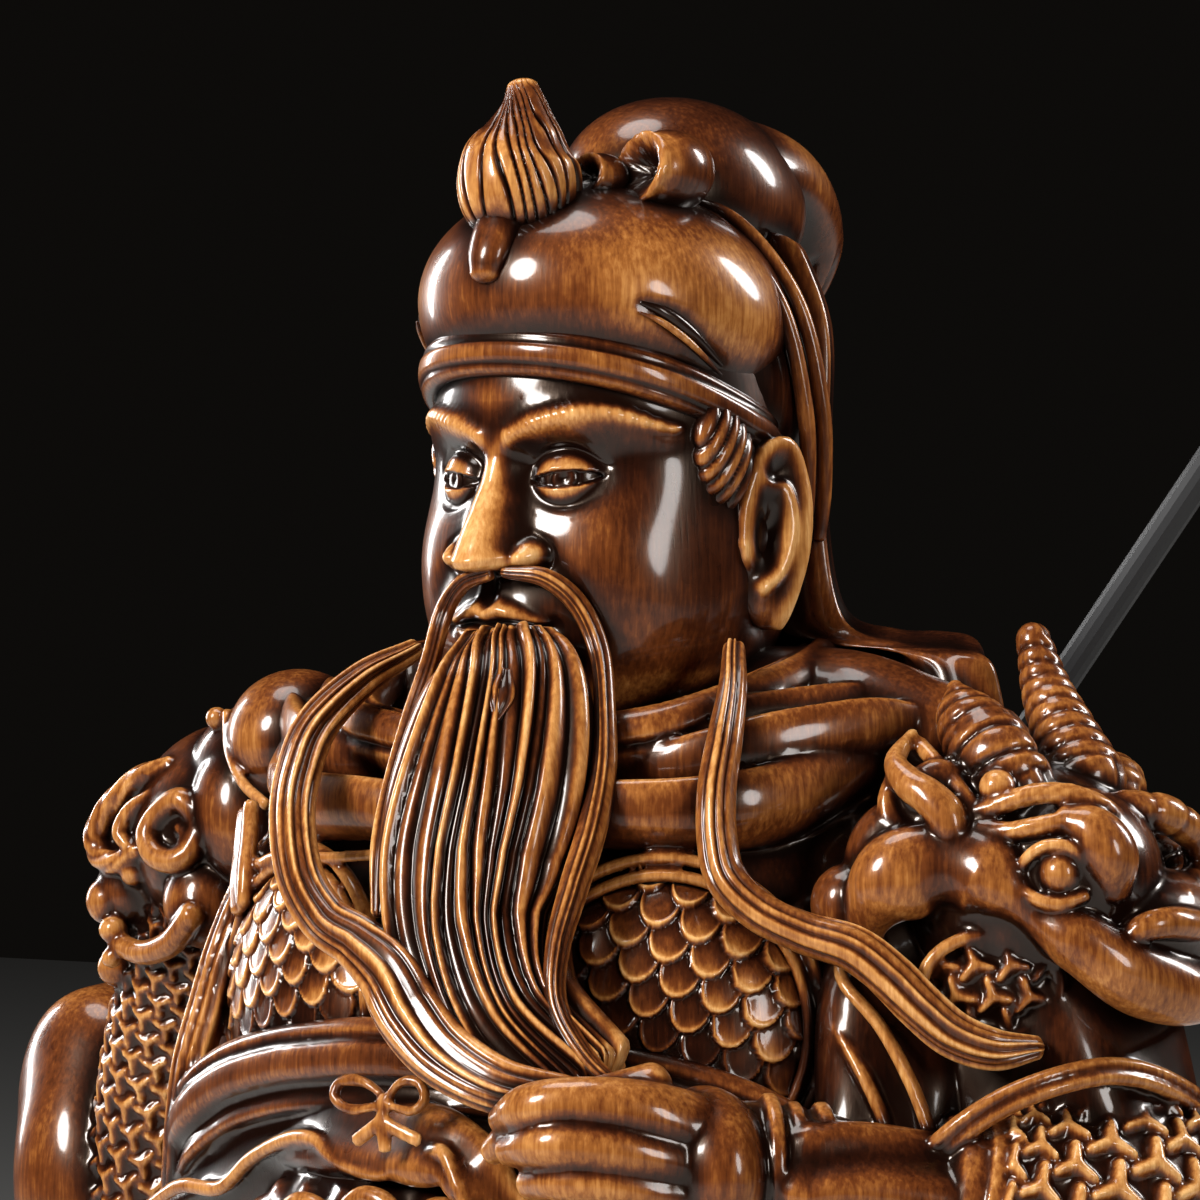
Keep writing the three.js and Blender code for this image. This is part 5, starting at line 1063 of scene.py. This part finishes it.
rightArmShape = {
    "upper": [[-72, 4, 288, 12, 14], [-84, 9, 266, 12.6, 15], [-92, 14, 238, 13, 16]],
    "mailPitch": 4.6,
    "crest": [[-104, 8, 254, 2.4, 2.4], [-106, 4, 243, 2.8, 2.8], [-105, 2, 230, 3, 3]],
    "puff": {"centre": [-105, 20, 236], "radii": [18, 22.6, 34.4], "turn": [0, -12, 0]},
    "forearm": [[-106, 20, 226, 18, 18], [-92, 33, 208, 15, 14], [-68, 41, 194, 10, 10]],
    "hanging": [[-103, 20, 222, 14, 17], [-97, 25, 200, 11, 17], [-92, 26, 178, 10, 20],
                [-90, 27, 158, 10, 22]],
    "wrist": [[-68, 41, 194, 8.6, 8.6], [-54, 44, 189, 8, 8]],
    "band": [[-69, 40.5, 194, 11, 11], [-66.5, 41, 193, 11, 11]],
    "fist": {"centre": [-46, 44, 186], "radii": [10, 10.5, 10], "turn": [0, -35, 0]},
    "fingers": 4,
    "fingerSide": [0.58, 0, 0.81],
}


def makeRightArm():
    # a mailed upper arm in front of a puffed sleeve, the forearm behind the back and the fist
    shape = rightArmShape
    puff, fist = shape["puff"], shape["fist"]
    parts = [
        tube(shape["upper"], around=170, along=100, lean=0.3,
             relief=lambda t, a: 1.2 * mail(a * 14, t * 56, shape["mailPitch"])),
        tube(shape["crest"], around=24, along=70, relief=ringed(0.7, 7, 0.5)),
        ball(puff["centre"], puff["radii"], puff["turn"], 110, 90, reach=3,
             relief=lambda p: 0.7 * np.cos(0.3 * p[..., 1] + 0.1 * p[..., 2])),
        tube(shape["forearm"], around=70, along=50, relief=waves(0.8, 6, 5)),
        tube(shape["hanging"], around=120, along=60, roundness=0, relief=waves(1.3, 7, 2)),
        tube(shape["wrist"], around=40, along=14),
        tube(shape["band"], around=60, along=6, roundness=0.25),
        ball(fist["centre"], fist["radii"], fist["turn"], 60, 44),
        ringRound([-90, 27, 159.4], [1, 0, 0], [0, 1, 0], [10, 22], 1.7, 90, 16),
    ]
    for k in range(shape["fingers"]):
        x, z = -52 + 3.5 * k, 179 + 4.9 * k
        finger = [[x - 1, 54, z + 1, 2.6, 2.8], [x + 6, 49.5, z - 4, 2.6, 2.8],
                  [x + 7.5, 41, z - 5.4, 2.6, 2.8], [x + 4, 36, z - 3, 2.2, 2.4]]
        parts.append(tube(finger, shape["fingerSide"], 24, 36))
    return parts


forms["leftArm"] = makeShoulder() + makeLeftArm()
forms["rightArm"] = makeRightShoulder() + makeRightArm()
print("shoulders and arms shaped")


# The robe, cloak, boots, rock and plinth
skirtsShape = {
    "robe": [[27, 2, 0, 70, 50, 48], [48, 2, 0, 66, 48, 46], [90, 1, 0, 62, 47, 42], [140, 0, 0, 60, 46, 38],
             [190, 0, 0, 57, 45, 36], [222, 0, 0, 56, 44, 35]],
    "cloak": [[20, 8, 6, 82, 40, 56], [50, 6, 5, 77, 40, 50], [110, 3, 3, 71, 40, 40],
              [170, 1, 1, 68, 38, 36], [230, 0, 0, 66, 36, 36.5], [276, 0, 0, 62, 34, 37],
              [300, 0, 0, 58, 30, 37], [316, 0, 1, 50, 24, 34]],
    "apron": [[64, 3, 0, 64, 57, 40], [120, 1, 0, 62, 55.5, 40], [180, 0, 0, 60, 54, 40],
              [226, 0, 0, 60, 53, 40]],
    "guard": [[112, 0, 0, 73, 59, 50], [150, 0, 0, 70, 57, 46], [190, 0, 0, 67, 55, 42],
              [236, 0, 0, 63, 52, 40]],
    "boot": [[28, 4, 34, 12, 18], [27, -12, 28, 12, 14], [28.4, -34, 21, 11, 8.6], [30, -52, 18.6, 10, 6.6],
             [31, -63, 20.4, 7.6, 5.4], [31.6, -68.4, 24.4, 3.6, 3]],
    "sole": [[27, -8, 15.4, 12.4, 2.6], [28.4, -34, 13.4, 12, 2.4], [30, -52, 12.8, 11, 2.4],
             [31, -65, 15.6, 8, 2.2], [31.8, -71, 20.6, 3.4, 1.8]],
    "leftTail": [[9, -62, 204, 5, 2.2], [17, -65, 176, 7, 2.2], [14, -67, 140, 8, 2.2],
                 [24, -68, 104, 10, 2.2]],
    "rightTail": [[0, -62, 204, 5, 2.2], [-3, -66, 172, 7, 2.2], [3, -66, 140, 8, 2.2],
                  [-4, -68, 112, 9, 2.2]],
    "scale": (8.6, 6),  # width and height
    "bowLoop": [[3, -63, 206, 3.4, 2.4], [14, -66, 213, 5, 2.6], [24, -61, 208, 5, 2.6],
                [15, -64, 201, 4, 2.6], [4, -63, 204, 3, 2.4]],
}


def makeSkirts():
    # the pleated robe inside the cloak, the mailed apron, the two scaled guards, the boots and the sash
    shape = skirtsShape

    def pleats(count, deep):
        # waves round the body that fade upwards, and lower ones twice as close
        return lambda angle, t: deep * (1 - 0.75 * t) * (np.cos(count * angle + 2 * t)
                                                         + 0.4 * np.cos(2 * count * angle + 1))

    def apronDrop(share):
        # the bottom edge hangs lowest at its middle
        return 16 * np.sin(math.pi * share)

    def hemOf(levels, start, stop, drop):
        # a cord's stations just inside the bottom edge of a sheet
        share = np.linspace(0, 1, 9)
        p = levelPoints(levels, np.zeros(9), np.radians(start + (stop - start) * share), 1)
        return np.column_stack([p[:, :2], p[:, 2] - drop(share) + 3, np.full(9, 3.4), np.full(9, 2.4)])

    def guardRelief(share, t):
        # scales inside a plain border
        inside = (share > 0.05) * (share < 0.95) * (t > 0.06)
        return 1.0 * scales(share * 82, t * 124, *shape["scale"]) * inside

    def tailRelief(t, a):
        # a soft crease along the middle of the sash's tail
        return 0.5 * np.cos(3 * a) - 0.6 * np.exp(-((np.cos(a) / 0.2) ** 2))

    parts = [
        stack(shape["robe"], 380, 90, relief=pleats(14, 3), reach=3, tone=-0.05),
        wrap(shape["cloak"], -4, 184, 6, 300, 120, drop=lambda s: 5 * np.cos(s * 19), reach=3, tone=-0.05,
             relief=lambda s, t: 4.4 * (1 - t) * np.cos(s * 38 + 3 * t) - 1.2 * t),
        wrap(shape["apron"], -112, -68, 5, 90, 110, drop=apronDrop,
             relief=lambda s, t: 0.9 * mail((s - 0.5) * 47, t * 162, 7) * (np.abs(s - 0.5) < 0.42)),
        tube(hemOf(shape["apron"], -112, -68, apronDrop), [0, 0, 1], 20, 80),
        ball([1, -59, 150], [13, 4.4, 13], around=60, along=44),
        ball([0, 2, 24], [52, 38, 20], around=60, along=30, tone=-0.2),
        tube([[2, -58, 212, 9, 5], [4, -62, 206, 10, 6], [6, -58, 199, 8, 5]], around=40, along=24),
    ]
    for s in (-1, 1):
        start, stop = (-64, 2) if s > 0 else (-182, -116)

        def edge(share):
            # the bottom edge hangs lowest at its middle and is waved
            return 16 * np.sin(math.pi * share) + 2.4 * np.cos(share * 40)

        tail = [[p[0], p[1] + push, p[2], p[3], p[4] + push] for p, push in
                zip(shape["leftTail" if s > 0 else "rightTail"], (2, 3, 3.4, 4.4))]
        parts += [
            wrap(shape["guard"], start, stop, 5, 150, 110, drop=edge, relief=guardRelief),
            tube(hemOf(shape["guard"], start, stop, edge), [0, 0, 1], 20, 100),
            tube(mirrored(s, shape["boot"]), around=60, along=70, square=2.4, face=[0, 0, 1],
                 relief=lambda t, a: 0.5 * grooves(2 * math.pi * t, 9, 0.3) * (t < 0.6)),
            tube(mirrored(s, shape["sole"]), around=40, along=60, square=3, face=[0, 0, 1]),
            tube(tail, around=50, along=90, face=[0, -1, 0], square=2.6, relief=tailRelief),
            tube([[p[0] + 4, *p[1:]] for p in mirrored(s, shape["bowLoop"])], [0, 0.3, 1], 28, 50),
        ]
    return parts


rockShape = {
    "levels": [[0, 0, 0, 89, 70, 64], [6, 0, 0, 88, 69, 63], [9, 0, 0, 82, 64, 58], [16, 0, 0, 78, 60, 55],
               [19, 0, 0, 66, 50, 46]],
}


def makeRock():
    # a low mound with an uneven outline
    def rough(angle, t):
        # waves of four lengths round the rock
        crags = 2.2 * np.sin(5 * angle + 1) + 1.6 * np.sin(9 * angle + 5 * t) + 1.4 * np.sin(14 * angle + 2)
        return crags + 0.8 * np.sin(31 * angle + 9 * t) * (t > 0.02)

    return [stack(rockShape["levels"], 200, 34, relief=rough, tone=-0.1)]


plinthShape = {
    "width": 204,
    "depth": 162,
    "height": 20,
    "moulding": 3.2,
    "squareness": 2.5,
    # shares of the height and of the moulding's depth
    "profile": [[0, 0.25], [0.02, 0.06], [0.05, 0], [0.2, 0], [0.235, 0.08], [0.25, 0.3], [0.28, 0.62],
                [0.34, 0.86], [0.42, 0.98], [0.5, 1], [0.58, 0.95], [0.65, 0.8], [0.7, 0.58], [0.715, 0.42],
                [0.73, 0.2], [0.76, 0.06], [0.8, 0], [0.92, 0], [0.97, 0.07], [1, 0.3]],
}


def makePlinth():
    # rings of a squared oval, each drawn in by a share of the moulding: a foot, a hollow and a rounded lip
    profile = np.array(plinthShape["profile"])
    t = np.linspace(0, 1, int(84 * fineness))
    rise, cut = curveAt(profile, t).T
    rise, cut = np.clip(rise, 0, 1), np.clip(cut, 0, 1)
    angle = 2 * math.pi * np.arange(int(190 * fineness)) / int(190 * fineness)
    power = 2 / plinthShape["squareness"]
    c, n = (np.sign(f(angle)) * np.abs(f(angle)) ** power for f in (np.cos, np.sin))
    halfX = plinthShape["width"] / 2 - cut * plinthShape["moulding"]
    halfY = plinthShape["depth"] / 2 - cut * plinthShape["moulding"]
    level = rise * plinthShape["height"] - lowestFigure
    rings = np.stack([halfX[:, None] * c, halfY[:, None] * n, level[:, None] + 0 * c], -1)
    top = [rings[-1] * [k, k, 1] for k in (0.97, 0.9, 0.75, 0.5, 0.25)]
    foot = [rings[0] * [k, k, 1] for k in (0.25, 0.75, 0.97)]
    rings = np.concatenate([foot, rings, top])
    ends = np.array([[0, 0, rings[0, 0, 2]], [0, 0, rings[-1, 0, 2]]])
    return shell(rings, ends, tone=-0.04, reach=1.4)


forms["skirts"] = makeSkirts()
forms["rock"] = makeRock()
forms["plinth"] = [makePlinth()]
print("robe, rock and plinth shaped")


# The stain and the painted shade: how deep each point lies among the forms
stainAndShadeRule = {
    "level": 0.325,
    "ridge": 0.34,
    "ridgeSize": 0.28,  # millimetres over the surface round it
    # near, middle and wide darken the hollows: gathered stain and painted shade alike
    "near": 1.8,
    "middle": 0.95,
    "wide": 0.45,
    "spreads": (1.7, 3.6, 8.0),  # millimetres that near, middle and wide look over
    "openLimit": -0.07,
}


def cellsRound(at):
    # the eight cells round each place, with its share in each: 1 less its distance, along all three ways
    low = np.floor(at).astype(int)
    for corner in np.ndindex(2, 2, 2):
        x, y, z = (np.abs(1 - corner[k] - (at[:, k] - low[:, k])) for k in range(3))
        yield (low + corner).T, x * y * z


def hollowness(allForms, cell=1.5, margin=12):
    # The forms' solid fills space with 1 inside and 0 outside: the field whose slope is the surface's
    # inward area. Blurred over a few millimetres it is more than a half in a hollow and less on a ridge.
    points = np.concatenate([f["points"] for f in allForms])
    low = points.min(0) - margin
    size = np.ceil((points.max(0) + margin - low) / cell).astype(int)
    corners = np.concatenate([f["points"][f["quads"]] for f in allForms])
    area = 0.5 * np.cross(corners[:, 2] - corners[:, 0], corners[:, 3] - corners[:, 1])
    fans = np.concatenate([f["points"][f["fans"]] for f in allForms])
    fanArea = 0.5 * np.cross(fans[:, 1] - fans[:, 0], fans[:, 2] - fans[:, 0])
    slices = (np.arange(24) + 0.5) / 24
    inFan = fans[:, None, 0] + slices[None, :, None] * ((fans[:, 1] + fans[:, 2]) / 2 - fans[:, 0])[:, None]
    middles = np.concatenate([corners.mean(1), inFan.reshape(-1, 3)])
    area = np.concatenate([area, (fanArea[:, None] * (slices / 12)[None, :, None]).reshape(-1, 3)])
    pushes = np.zeros((3, int(np.prod(size))))
    for (x, y, z), share in cellsRound((middles - low) / cell - 0.5):
        index = (x * size[1] + y) * size[2] + z
        for k in range(3):
            pushes[k] -= np.bincount(index, area[:, k] * share, pushes.shape[1])
    pushes = pushes.reshape(3, *size)
    pushes /= cell**3
    numbers = [2 * math.pi * np.fft.fftfreq(n, cell) for n in size[:2]]
    numbers.append(2 * math.pi * np.fft.rfftfreq(size[2], cell))
    kx, ky, kz = np.meshgrid(*numbers, indexing="ij", sparse=True)
    k2 = kx**2 + ky**2 + kz**2
    total = kx * np.fft.rfftn(pushes[0]) + ky * np.fft.rfftn(pushes[1]) + kz * np.fft.rfftn(pushes[2])
    k2[0, 0, 0] = 1
    filled = np.fft.irfftn(-1j * total / k2, size)
    filled = np.clip(filled - filled[:2, :2, :2].mean(), 0, 1)
    spectrum = np.fft.rfftn(filled)
    k2[0, 0, 0] = 0
    blurred = [np.fft.irfftn(spectrum * np.exp(-0.5 * k2 * spread**2), size)
               for spread in stainAndShadeRule["spreads"]]

    def sample(p):
        # each blurred field at the points p, taken between its eight nearest cells, less a half
        found = [0] * len(blurred)
        for (x, y, z), share in cellsRound((p - low) / cell - 0.5):
            found = [value + share * field[x, y, z] for value, field in zip(found, blurred)]
        return [value - 0.5 for value in found]

    return sample


# the hollows' depth, which darkens the colour as stain and as painted shade
everyForm = [f for group in forms.values() for f in group]
hollowAt = hollowness(everyForm)
print("hollows measured")


def wornAndShaded(points, height, tone):
    # the stain's lightness with painted shade: high where the rag wipes a ridge, low in a hollow, where stain
    # gathers and where shade is painted in
    near, middle, wide = (np.maximum(value, stainAndShadeRule["openLimit"]) for value in hollowAt(points))
    value = stainAndShadeRule["level"] + tone + stainAndShadeRule["ridge"] * np.tanh(height / stainAndShadeRule["ridgeSize"])
    return value - stainAndShadeRule["near"] * near - stainAndShadeRule["middle"] * middle - stainAndShadeRule["wide"] * wide


# Materials
def nodeMaker(name):
    # an empty node tree, with a function that adds a node and one that joins two sockets
    material = bpy.data.materials.new(name)
    material.use_nodes = True
    tree = material.node_tree
    tree.nodes.clear()

    def make(kind, **settings):
        # a node of that kind, each setting given to the socket or the property of its name
        node = tree.nodes.new(kind)
        for key, value in settings.items():
            if key in node.inputs:
                node.inputs[key].default_value = value
            else:
                setattr(node, key, value)
        return node

    return material, make, tree.links.new


resinRule = {
    "streaks": 0.46,  # shares of the three noises in the stain's lightness
    "patches": 0.5,
    "specks": 0.12,
    "streakScale": (1500, 1500, 130),
    "stops": [(0.0, (0.006, 0.0016, 0.0008)), (0.2, (0.018, 0.004, 0.0016)), (0.38, (0.05, 0.0115, 0.0034)),
              (0.54, (0.125, 0.032, 0.0072)), (0.68, (0.275, 0.092, 0.019)), (0.83, (0.49, 0.21, 0.056)),
              (1.0, (0.74, 0.41, 0.15))],
    "roughness": (0.2, 0.38),
    "bump": {"Strength": 0.12, "Distance": 0.0002},
    "specular": 0.2,
    "specularTint": (1, 0.7, 0.5, 1),
    "coat": 0.5,
    "coatRoughness": 0.1,
}


def resinWithStainAndShade():
    # the worn-and-shaded value of each point, low in hollows for gathered stain and painted shade, plus
    # streaks, patches and specks picks a colour from near black to gold, under a clear coat
    material, make, join = nodeMaker("resinWithStainAndShade")
    place = make("ShaderNodeTexCoord")
    lightness = make("ShaderNodeAttribute", attribute_name="wornAndShaded")
    stretch = make("ShaderNodeMapping")
    stretch.inputs["Scale"].default_value = resinRule["streakScale"]
    streaks = make("ShaderNodeTexNoise", Scale=1.0, Detail=3.0, Roughness=0.6)
    patches = make("ShaderNodeTexNoise", Scale=70.0, Detail=3.0, Roughness=0.55)
    specks = make("ShaderNodeTexNoise", Scale=900.0, Detail=2.0, Roughness=0.5)
    join(place.outputs["Object"], stretch.inputs["Vector"])
    join(stretch.outputs["Vector"], streaks.inputs["Vector"])
    join(place.outputs["Object"], patches.inputs["Vector"])
    join(place.outputs["Object"], specks.inputs["Vector"])
    total = lightness.outputs["Fac"]
    for texture, kind in ((streaks, "streaks"), (patches, "patches"), (specks, "specks")):
        centred = make("ShaderNodeMath", operation="SUBTRACT")
        centred.inputs[1].default_value = 0.5
        join(texture.outputs["Fac"], centred.inputs[0])
        added = make("ShaderNodeMath", operation="MULTIPLY_ADD")
        added.inputs[1].default_value = resinRule[kind]
        join(centred.outputs[0], added.inputs[0])
        join(total, added.inputs[2])
        total = added.outputs[0]
    ramp = make("ShaderNodeValToRGB")
    stops = resinRule["stops"]
    while len(ramp.color_ramp.elements) < len(stops):
        ramp.color_ramp.elements.new(0.5)
    for element, (at, colour) in zip(ramp.color_ramp.elements, stops):
        element.position = at
        element.color = (*colour, 1)
    join(total, ramp.inputs["Fac"])
    rough = make("ShaderNodeMapRange")
    rough.inputs["To Min"].default_value, rough.inputs["To Max"].default_value = resinRule["roughness"]
    join(patches.outputs["Fac"], rough.inputs["Value"])
    bump = make("ShaderNodeBump", **resinRule["bump"])
    join(streaks.outputs["Fac"], bump.inputs["Height"])
    shader = make("ShaderNodeBsdfPrincipled")
    shader.inputs["Specular IOR Level"].default_value = resinRule["specular"]
    shader.inputs["Specular Tint"].default_value = resinRule["specularTint"]
    shader.inputs["Coat Weight"].default_value = resinRule["coat"]
    shader.inputs["Coat Roughness"].default_value = resinRule["coatRoughness"]
    join(ramp.outputs["Color"], shader.inputs["Base Color"])
    join(rough.outputs["Result"], shader.inputs["Roughness"])
    join(bump.outputs["Normal"], shader.inputs["Normal"])
    out = make("ShaderNodeOutputMaterial")
    join(shader.outputs["BSDF"], out.inputs["Surface"])
    return material


def plainFinish(name, colour, roughness, metallic=0.0, grain=0.0):
    # one colour, its roughness varied by a cloudy noise
    material, make, join = nodeMaker(name)
    place = make("ShaderNodeTexCoord")
    cloud = make("ShaderNodeTexNoise", Scale=60.0, Detail=3.0)
    join(place.outputs["Object"], cloud.inputs["Vector"])
    rough = make("ShaderNodeMapRange")
    rough.inputs["To Min"].default_value = roughness - grain
    rough.inputs["To Max"].default_value = roughness + grain
    join(cloud.outputs["Fac"], rough.inputs["Value"])
    shader = make("ShaderNodeBsdfPrincipled", Metallic=metallic)
    shader.inputs["Base Color"].default_value = (*colour, 1)
    join(rough.outputs["Result"], shader.inputs["Roughness"])
    out = make("ShaderNodeOutputMaterial")
    join(shader.outputs["BSDF"], out.inputs["Surface"])
    return material


resin = resinWithStainAndShade()
lacquer = plainFinish("blackLacquer", (0.005, 0.0046, 0.005), 0.56, grain=0.1)
steel = plainFinish("darkSteel", (0.3, 0.29, 0.28), 0.34, metallic=1.0, grain=0.1)
paper = plainFinish("paleFloor", (0.5, 0.49, 0.47), 0.75)


# Meshes
def meshOf(name, points, quads, fans):
    # a mesh of those points in millimetres, its sides of four and three corners
    mesh = bpy.data.meshes.new(name)
    mesh.vertices.add(len(points))
    mesh.vertices.foreach_set("co", ((points + [0, 0, lowestFigure]) / 1000).ravel())
    corners = np.concatenate([quads.ravel(), fans.ravel()])
    sizes = np.concatenate([np.full(len(quads), 4), np.full(len(fans), 3)])
    mesh.loops.add(len(corners))
    mesh.loops.foreach_set("vertex_index", corners)
    mesh.polygons.add(len(sizes))
    mesh.polygons.foreach_set("loop_start", np.concatenate([[0], np.cumsum(sizes)[:-1]]))
    mesh.polygons.foreach_set("loop_total", sizes)
    mesh.polygons.foreach_set("use_smooth", np.ones(len(sizes), bool))
    mesh.update(calc_edges=True)
    mesh.validate()
    return mesh


def modified(mesh, kind, **settings):
    # the mesh as one modifier leaves it
    raw = bpy.data.objects.new("raw", mesh)
    bpy.context.collection.objects.link(raw)
    modifier = raw.modifiers.new("change", kind)
    for key, value in settings.items():
        setattr(modifier, key, value)
    result = bpy.data.meshes.new_from_object(raw.evaluated_get(bpy.context.evaluated_depsgraph_get()))
    bpy.data.objects.remove(raw)
    bpy.data.meshes.remove(mesh)
    return result


def read(of, field, wide=1, kind=float):
    # one field of all those elements as an array
    values = np.zeros(len(of) * wide, kind)
    of.foreach_get(field, values)
    return values.reshape(-1, wide) if wide > 1 else values


def meanOfNeighbours(edges, points, times):
    # each point moved halfway to the mean of its neighbours, again and again
    count = np.bincount(edges.ravel(), minlength=len(points))[:, None]
    ends = np.concatenate([edges[:, 0], edges[:, 1]])
    others = np.concatenate([edges[:, 1], edges[:, 0]])
    for _ in range(times):
        mean = np.stack([np.bincount(ends, points[others, k], len(points)) for k in range(3)], -1) / count
        points = 0.5 * (points + mean)
    return points


def gathered(name, group):
    # the group's forms side by side in one mesh
    starts = np.cumsum([0] + [len(f["points"]) for f in group])
    quads, fans = (np.concatenate([f[kind] + a for f, a in zip(group, starts)]) for kind in ("quads", "fans"))
    return meshOf(name, np.concatenate([f["points"] for f in group]), quads, fans)


def addStainAndShade(mesh, lightness):
    # the stain and painted shade of each point, the value that the material reads
    mesh.attributes.new("wornAndShaded", "FLOAT", "POINT").data.foreach_set("value", lightness)


def fused(name, group, cell):
    # the group's forms cast as one skin: remade over cells of that size, its creases filled to a small
    # radius while its edges stay
    points = np.concatenate([f["points"] for f in group])
    tones = np.concatenate([np.full(len(f["points"]), f["tone"]) for f in group])
    mesh = modified(gathered(name, group), "REMESH", mode="VOXEL", voxel_size=cell / 1000,
                    use_smooth_shade=True)
    edges = read(mesh.edges, "vertices", 2, np.int32)
    skin = read(mesh.vertices, "co", 3) * 1000 - [0, 0, lowestFigure]
    skin = meanOfNeighbours(edges, skin, 1)
    for times, share in ((int(5 / cell**2 * 0.45), 0.55), (int(2 / cell**2 * 0.45), 0.0)):
        mesh.vertices.foreach_set("co", ((skin + [0, 0, lowestFigure]) / 1000).ravel())
        mesh.update()
        normal = read(mesh.vertices, "normal", 3)
        rise = np.sum((meanOfNeighbours(edges, skin, max(times, 2)) - skin) * normal, 1)
        skin = skin + share * np.maximum(rise, 0)[:, None] * normal
    low, size = points.min(0) - 4, np.ceil((points.max(0) - points.min(0) + 8) / 2).astype(int)
    index = [np.ravel_multi_index(((p - low) / 2).astype(int).T, size, mode="clip") for p in (points, skin)]
    most = int(np.prod(size))
    count = np.bincount(index[0], minlength=most)
    tone = (np.bincount(index[0], tones, most) / np.maximum(count, 1))[index[1]]
    # the creases, as negative heights, and the hollows darken the colour: gathered stain and painted shade
    addStainAndShade(mesh, wornAndShaded(skin, -rise * 2.6, tone))
    return mesh


def joined(name, group):
    # the gathered forms, each stained, with painted shade in its creases and hollows, by the heights on its
    # own surface and the hollows round it
    mesh = gathered(name, group)
    stainAndShadeValues = [wornAndShaded(f["points"], f["height"] - np.median(f["height"]), f["tone"]) for f in group]
    addStainAndShade(mesh, np.concatenate(stainAndShadeValues))
    return mesh


def makePiece(name, group, cell=None, budget=0):
    # one object of the group's forms, fused where a cell's size is given and thinned to its budget
    mesh = fused(name, group, cell / fineness) if cell else joined(name, group)
    many = int(np.sum(read(mesh.polygons, "loop_total", 1, np.int32) - 2))
    if many > budget > 0:
        mesh = modified(mesh, "DECIMATE", ratio=budget / many)
        mesh.name = name
    mesh.materials.clear()
    mesh.materials.append(resin)
    piece = bpy.data.objects.new(name, mesh)
    bpy.context.collection.objects.link(piece)
    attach(piece, "root")
    many = int(np.sum(read(mesh.polygons, "loop_total", 1, np.int32) - 2))
    print(name, len(mesh.vertices), "points", many, "triangles")
    return piece


# the cells that a piece is remade over, in millimetres, and the most triangles that it keeps
pieceRule = {
    "head": (None, 110000),
    "cap": (None, 112000),
    "beard": (None, 136000),
    "plates": (None, 106000),
    "armour": (0.42, 110000),
    "leftArm": (0.4, 138000),
    "rightArm": (0.42, 76000),
    "skirts": (0.7, 86000),
}
for name, group in forms.items():
    piece = makePiece(name if name != "plinth" else "plinthShell", group, *pieceRule.get(name, (None, 0)))
    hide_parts("plinth" if name == "plinth" else "figure")

for node, finish in (("glaive_shaft", lacquer), ("glaive_blade", steel)):
    cadNode = bpy.data.objects[node]
    cadNode.data.materials.clear()
    cadNode.data.materials.append(finish)

# Floor, light and camera
stageRule = {
    "floorWidth": 6.0,
    "world": 0.004,
    "worldColour": (1, 0.88, 0.76, 1),
    "aim": (0, 0, 0.34),
    # place, size and power in watts
    "lamps": {
        "keyLight": ((-0.35, -1.0, 0.85), (0.34, 0.5), 21),
        "fillLight": ((1.25, -0.55, 0.6), (0.3, 0.6), 7.5),
        "rimLight": ((0.75, 0.8, 0.95), (0.3, 0.6), 12),
        "leftRimLight": ((-1.2, 0.25, 0.6), (0.2, 0.7), 9),
        "topLight": ((-0.2, -0.1, 1.3), (0.5, 0.5), 5),
    },
}


def makeFloor():
    # a flat square round the origin
    mesh = bpy.data.meshes.new("floor")
    half = stageRule["floorWidth"] / 2
    corners = [(-half, -half, 0), (half, -half, 0), (half, half, 0), (-half, half, 0)]
    mesh.from_pydata(corners, [], [(0, 1, 2, 3)])
    mesh.materials.append(paper)
    floor = bpy.data.objects.new("floor", mesh)
    bpy.context.collection.objects.link(floor)


makeFloor()
world = bpy.data.worlds.new("studio")
world.use_nodes = True
world.node_tree.nodes["Background"].inputs["Color"].default_value = stageRule["worldColour"]
world.node_tree.nodes["Background"].inputs["Strength"].default_value = stageRule["world"]
bpy.context.scene.world = world


def softbox(name, place, size, power):
    # an oval area lamp that faces the bust
    lamp = bpy.data.lights.new(name, "AREA")
    lamp.shape = "ELLIPSE"
    lamp.size, lamp.size_y = size
    lamp.energy = power
    box = bpy.data.objects.new(name, lamp)
    bpy.context.collection.objects.link(box)
    box.location = place
    way = np.array(stageRule["aim"]) - np.array(place)
    box.rotation_mode = "QUATERNION"
    box.rotation_quaternion = Vector(way).to_track_quat("-Z", "Y")


for lampName, (lampPlace, lampSize, lampPower) in stageRule["lamps"].items():
    softbox(lampName, lampPlace, lampSize, lampPower)

# degrees round the figure, metres to what it is aimed at, millimetres of lens
view = {"azimuth": 32, "distance": 0.7, "lens": 140, "aim": (-0.0015, -0.00095, 0.353)}
camera = bpy.data.cameras.new("camera")
camera.lens = view["lens"]
camera.sensor_width = 36
camera.clip_start = 0.01
cameraObject = bpy.data.objects.new("camera", camera)
bpy.context.collection.objects.link(cameraObject)
azimuth = math.radians(view["azimuth"])
cameraObject.location = (view["aim"][0] + view["distance"] * math.sin(azimuth),
                         view["aim"][1] - view["distance"] * math.cos(azimuth), view["aim"][2])
cameraObject.rotation_euler = (math.pi / 2, 0, azimuth)
bpy.context.scene.camera = cameraObject
bpy.context.scene.view_settings.view_transform = "Standard"

print("scene ready")
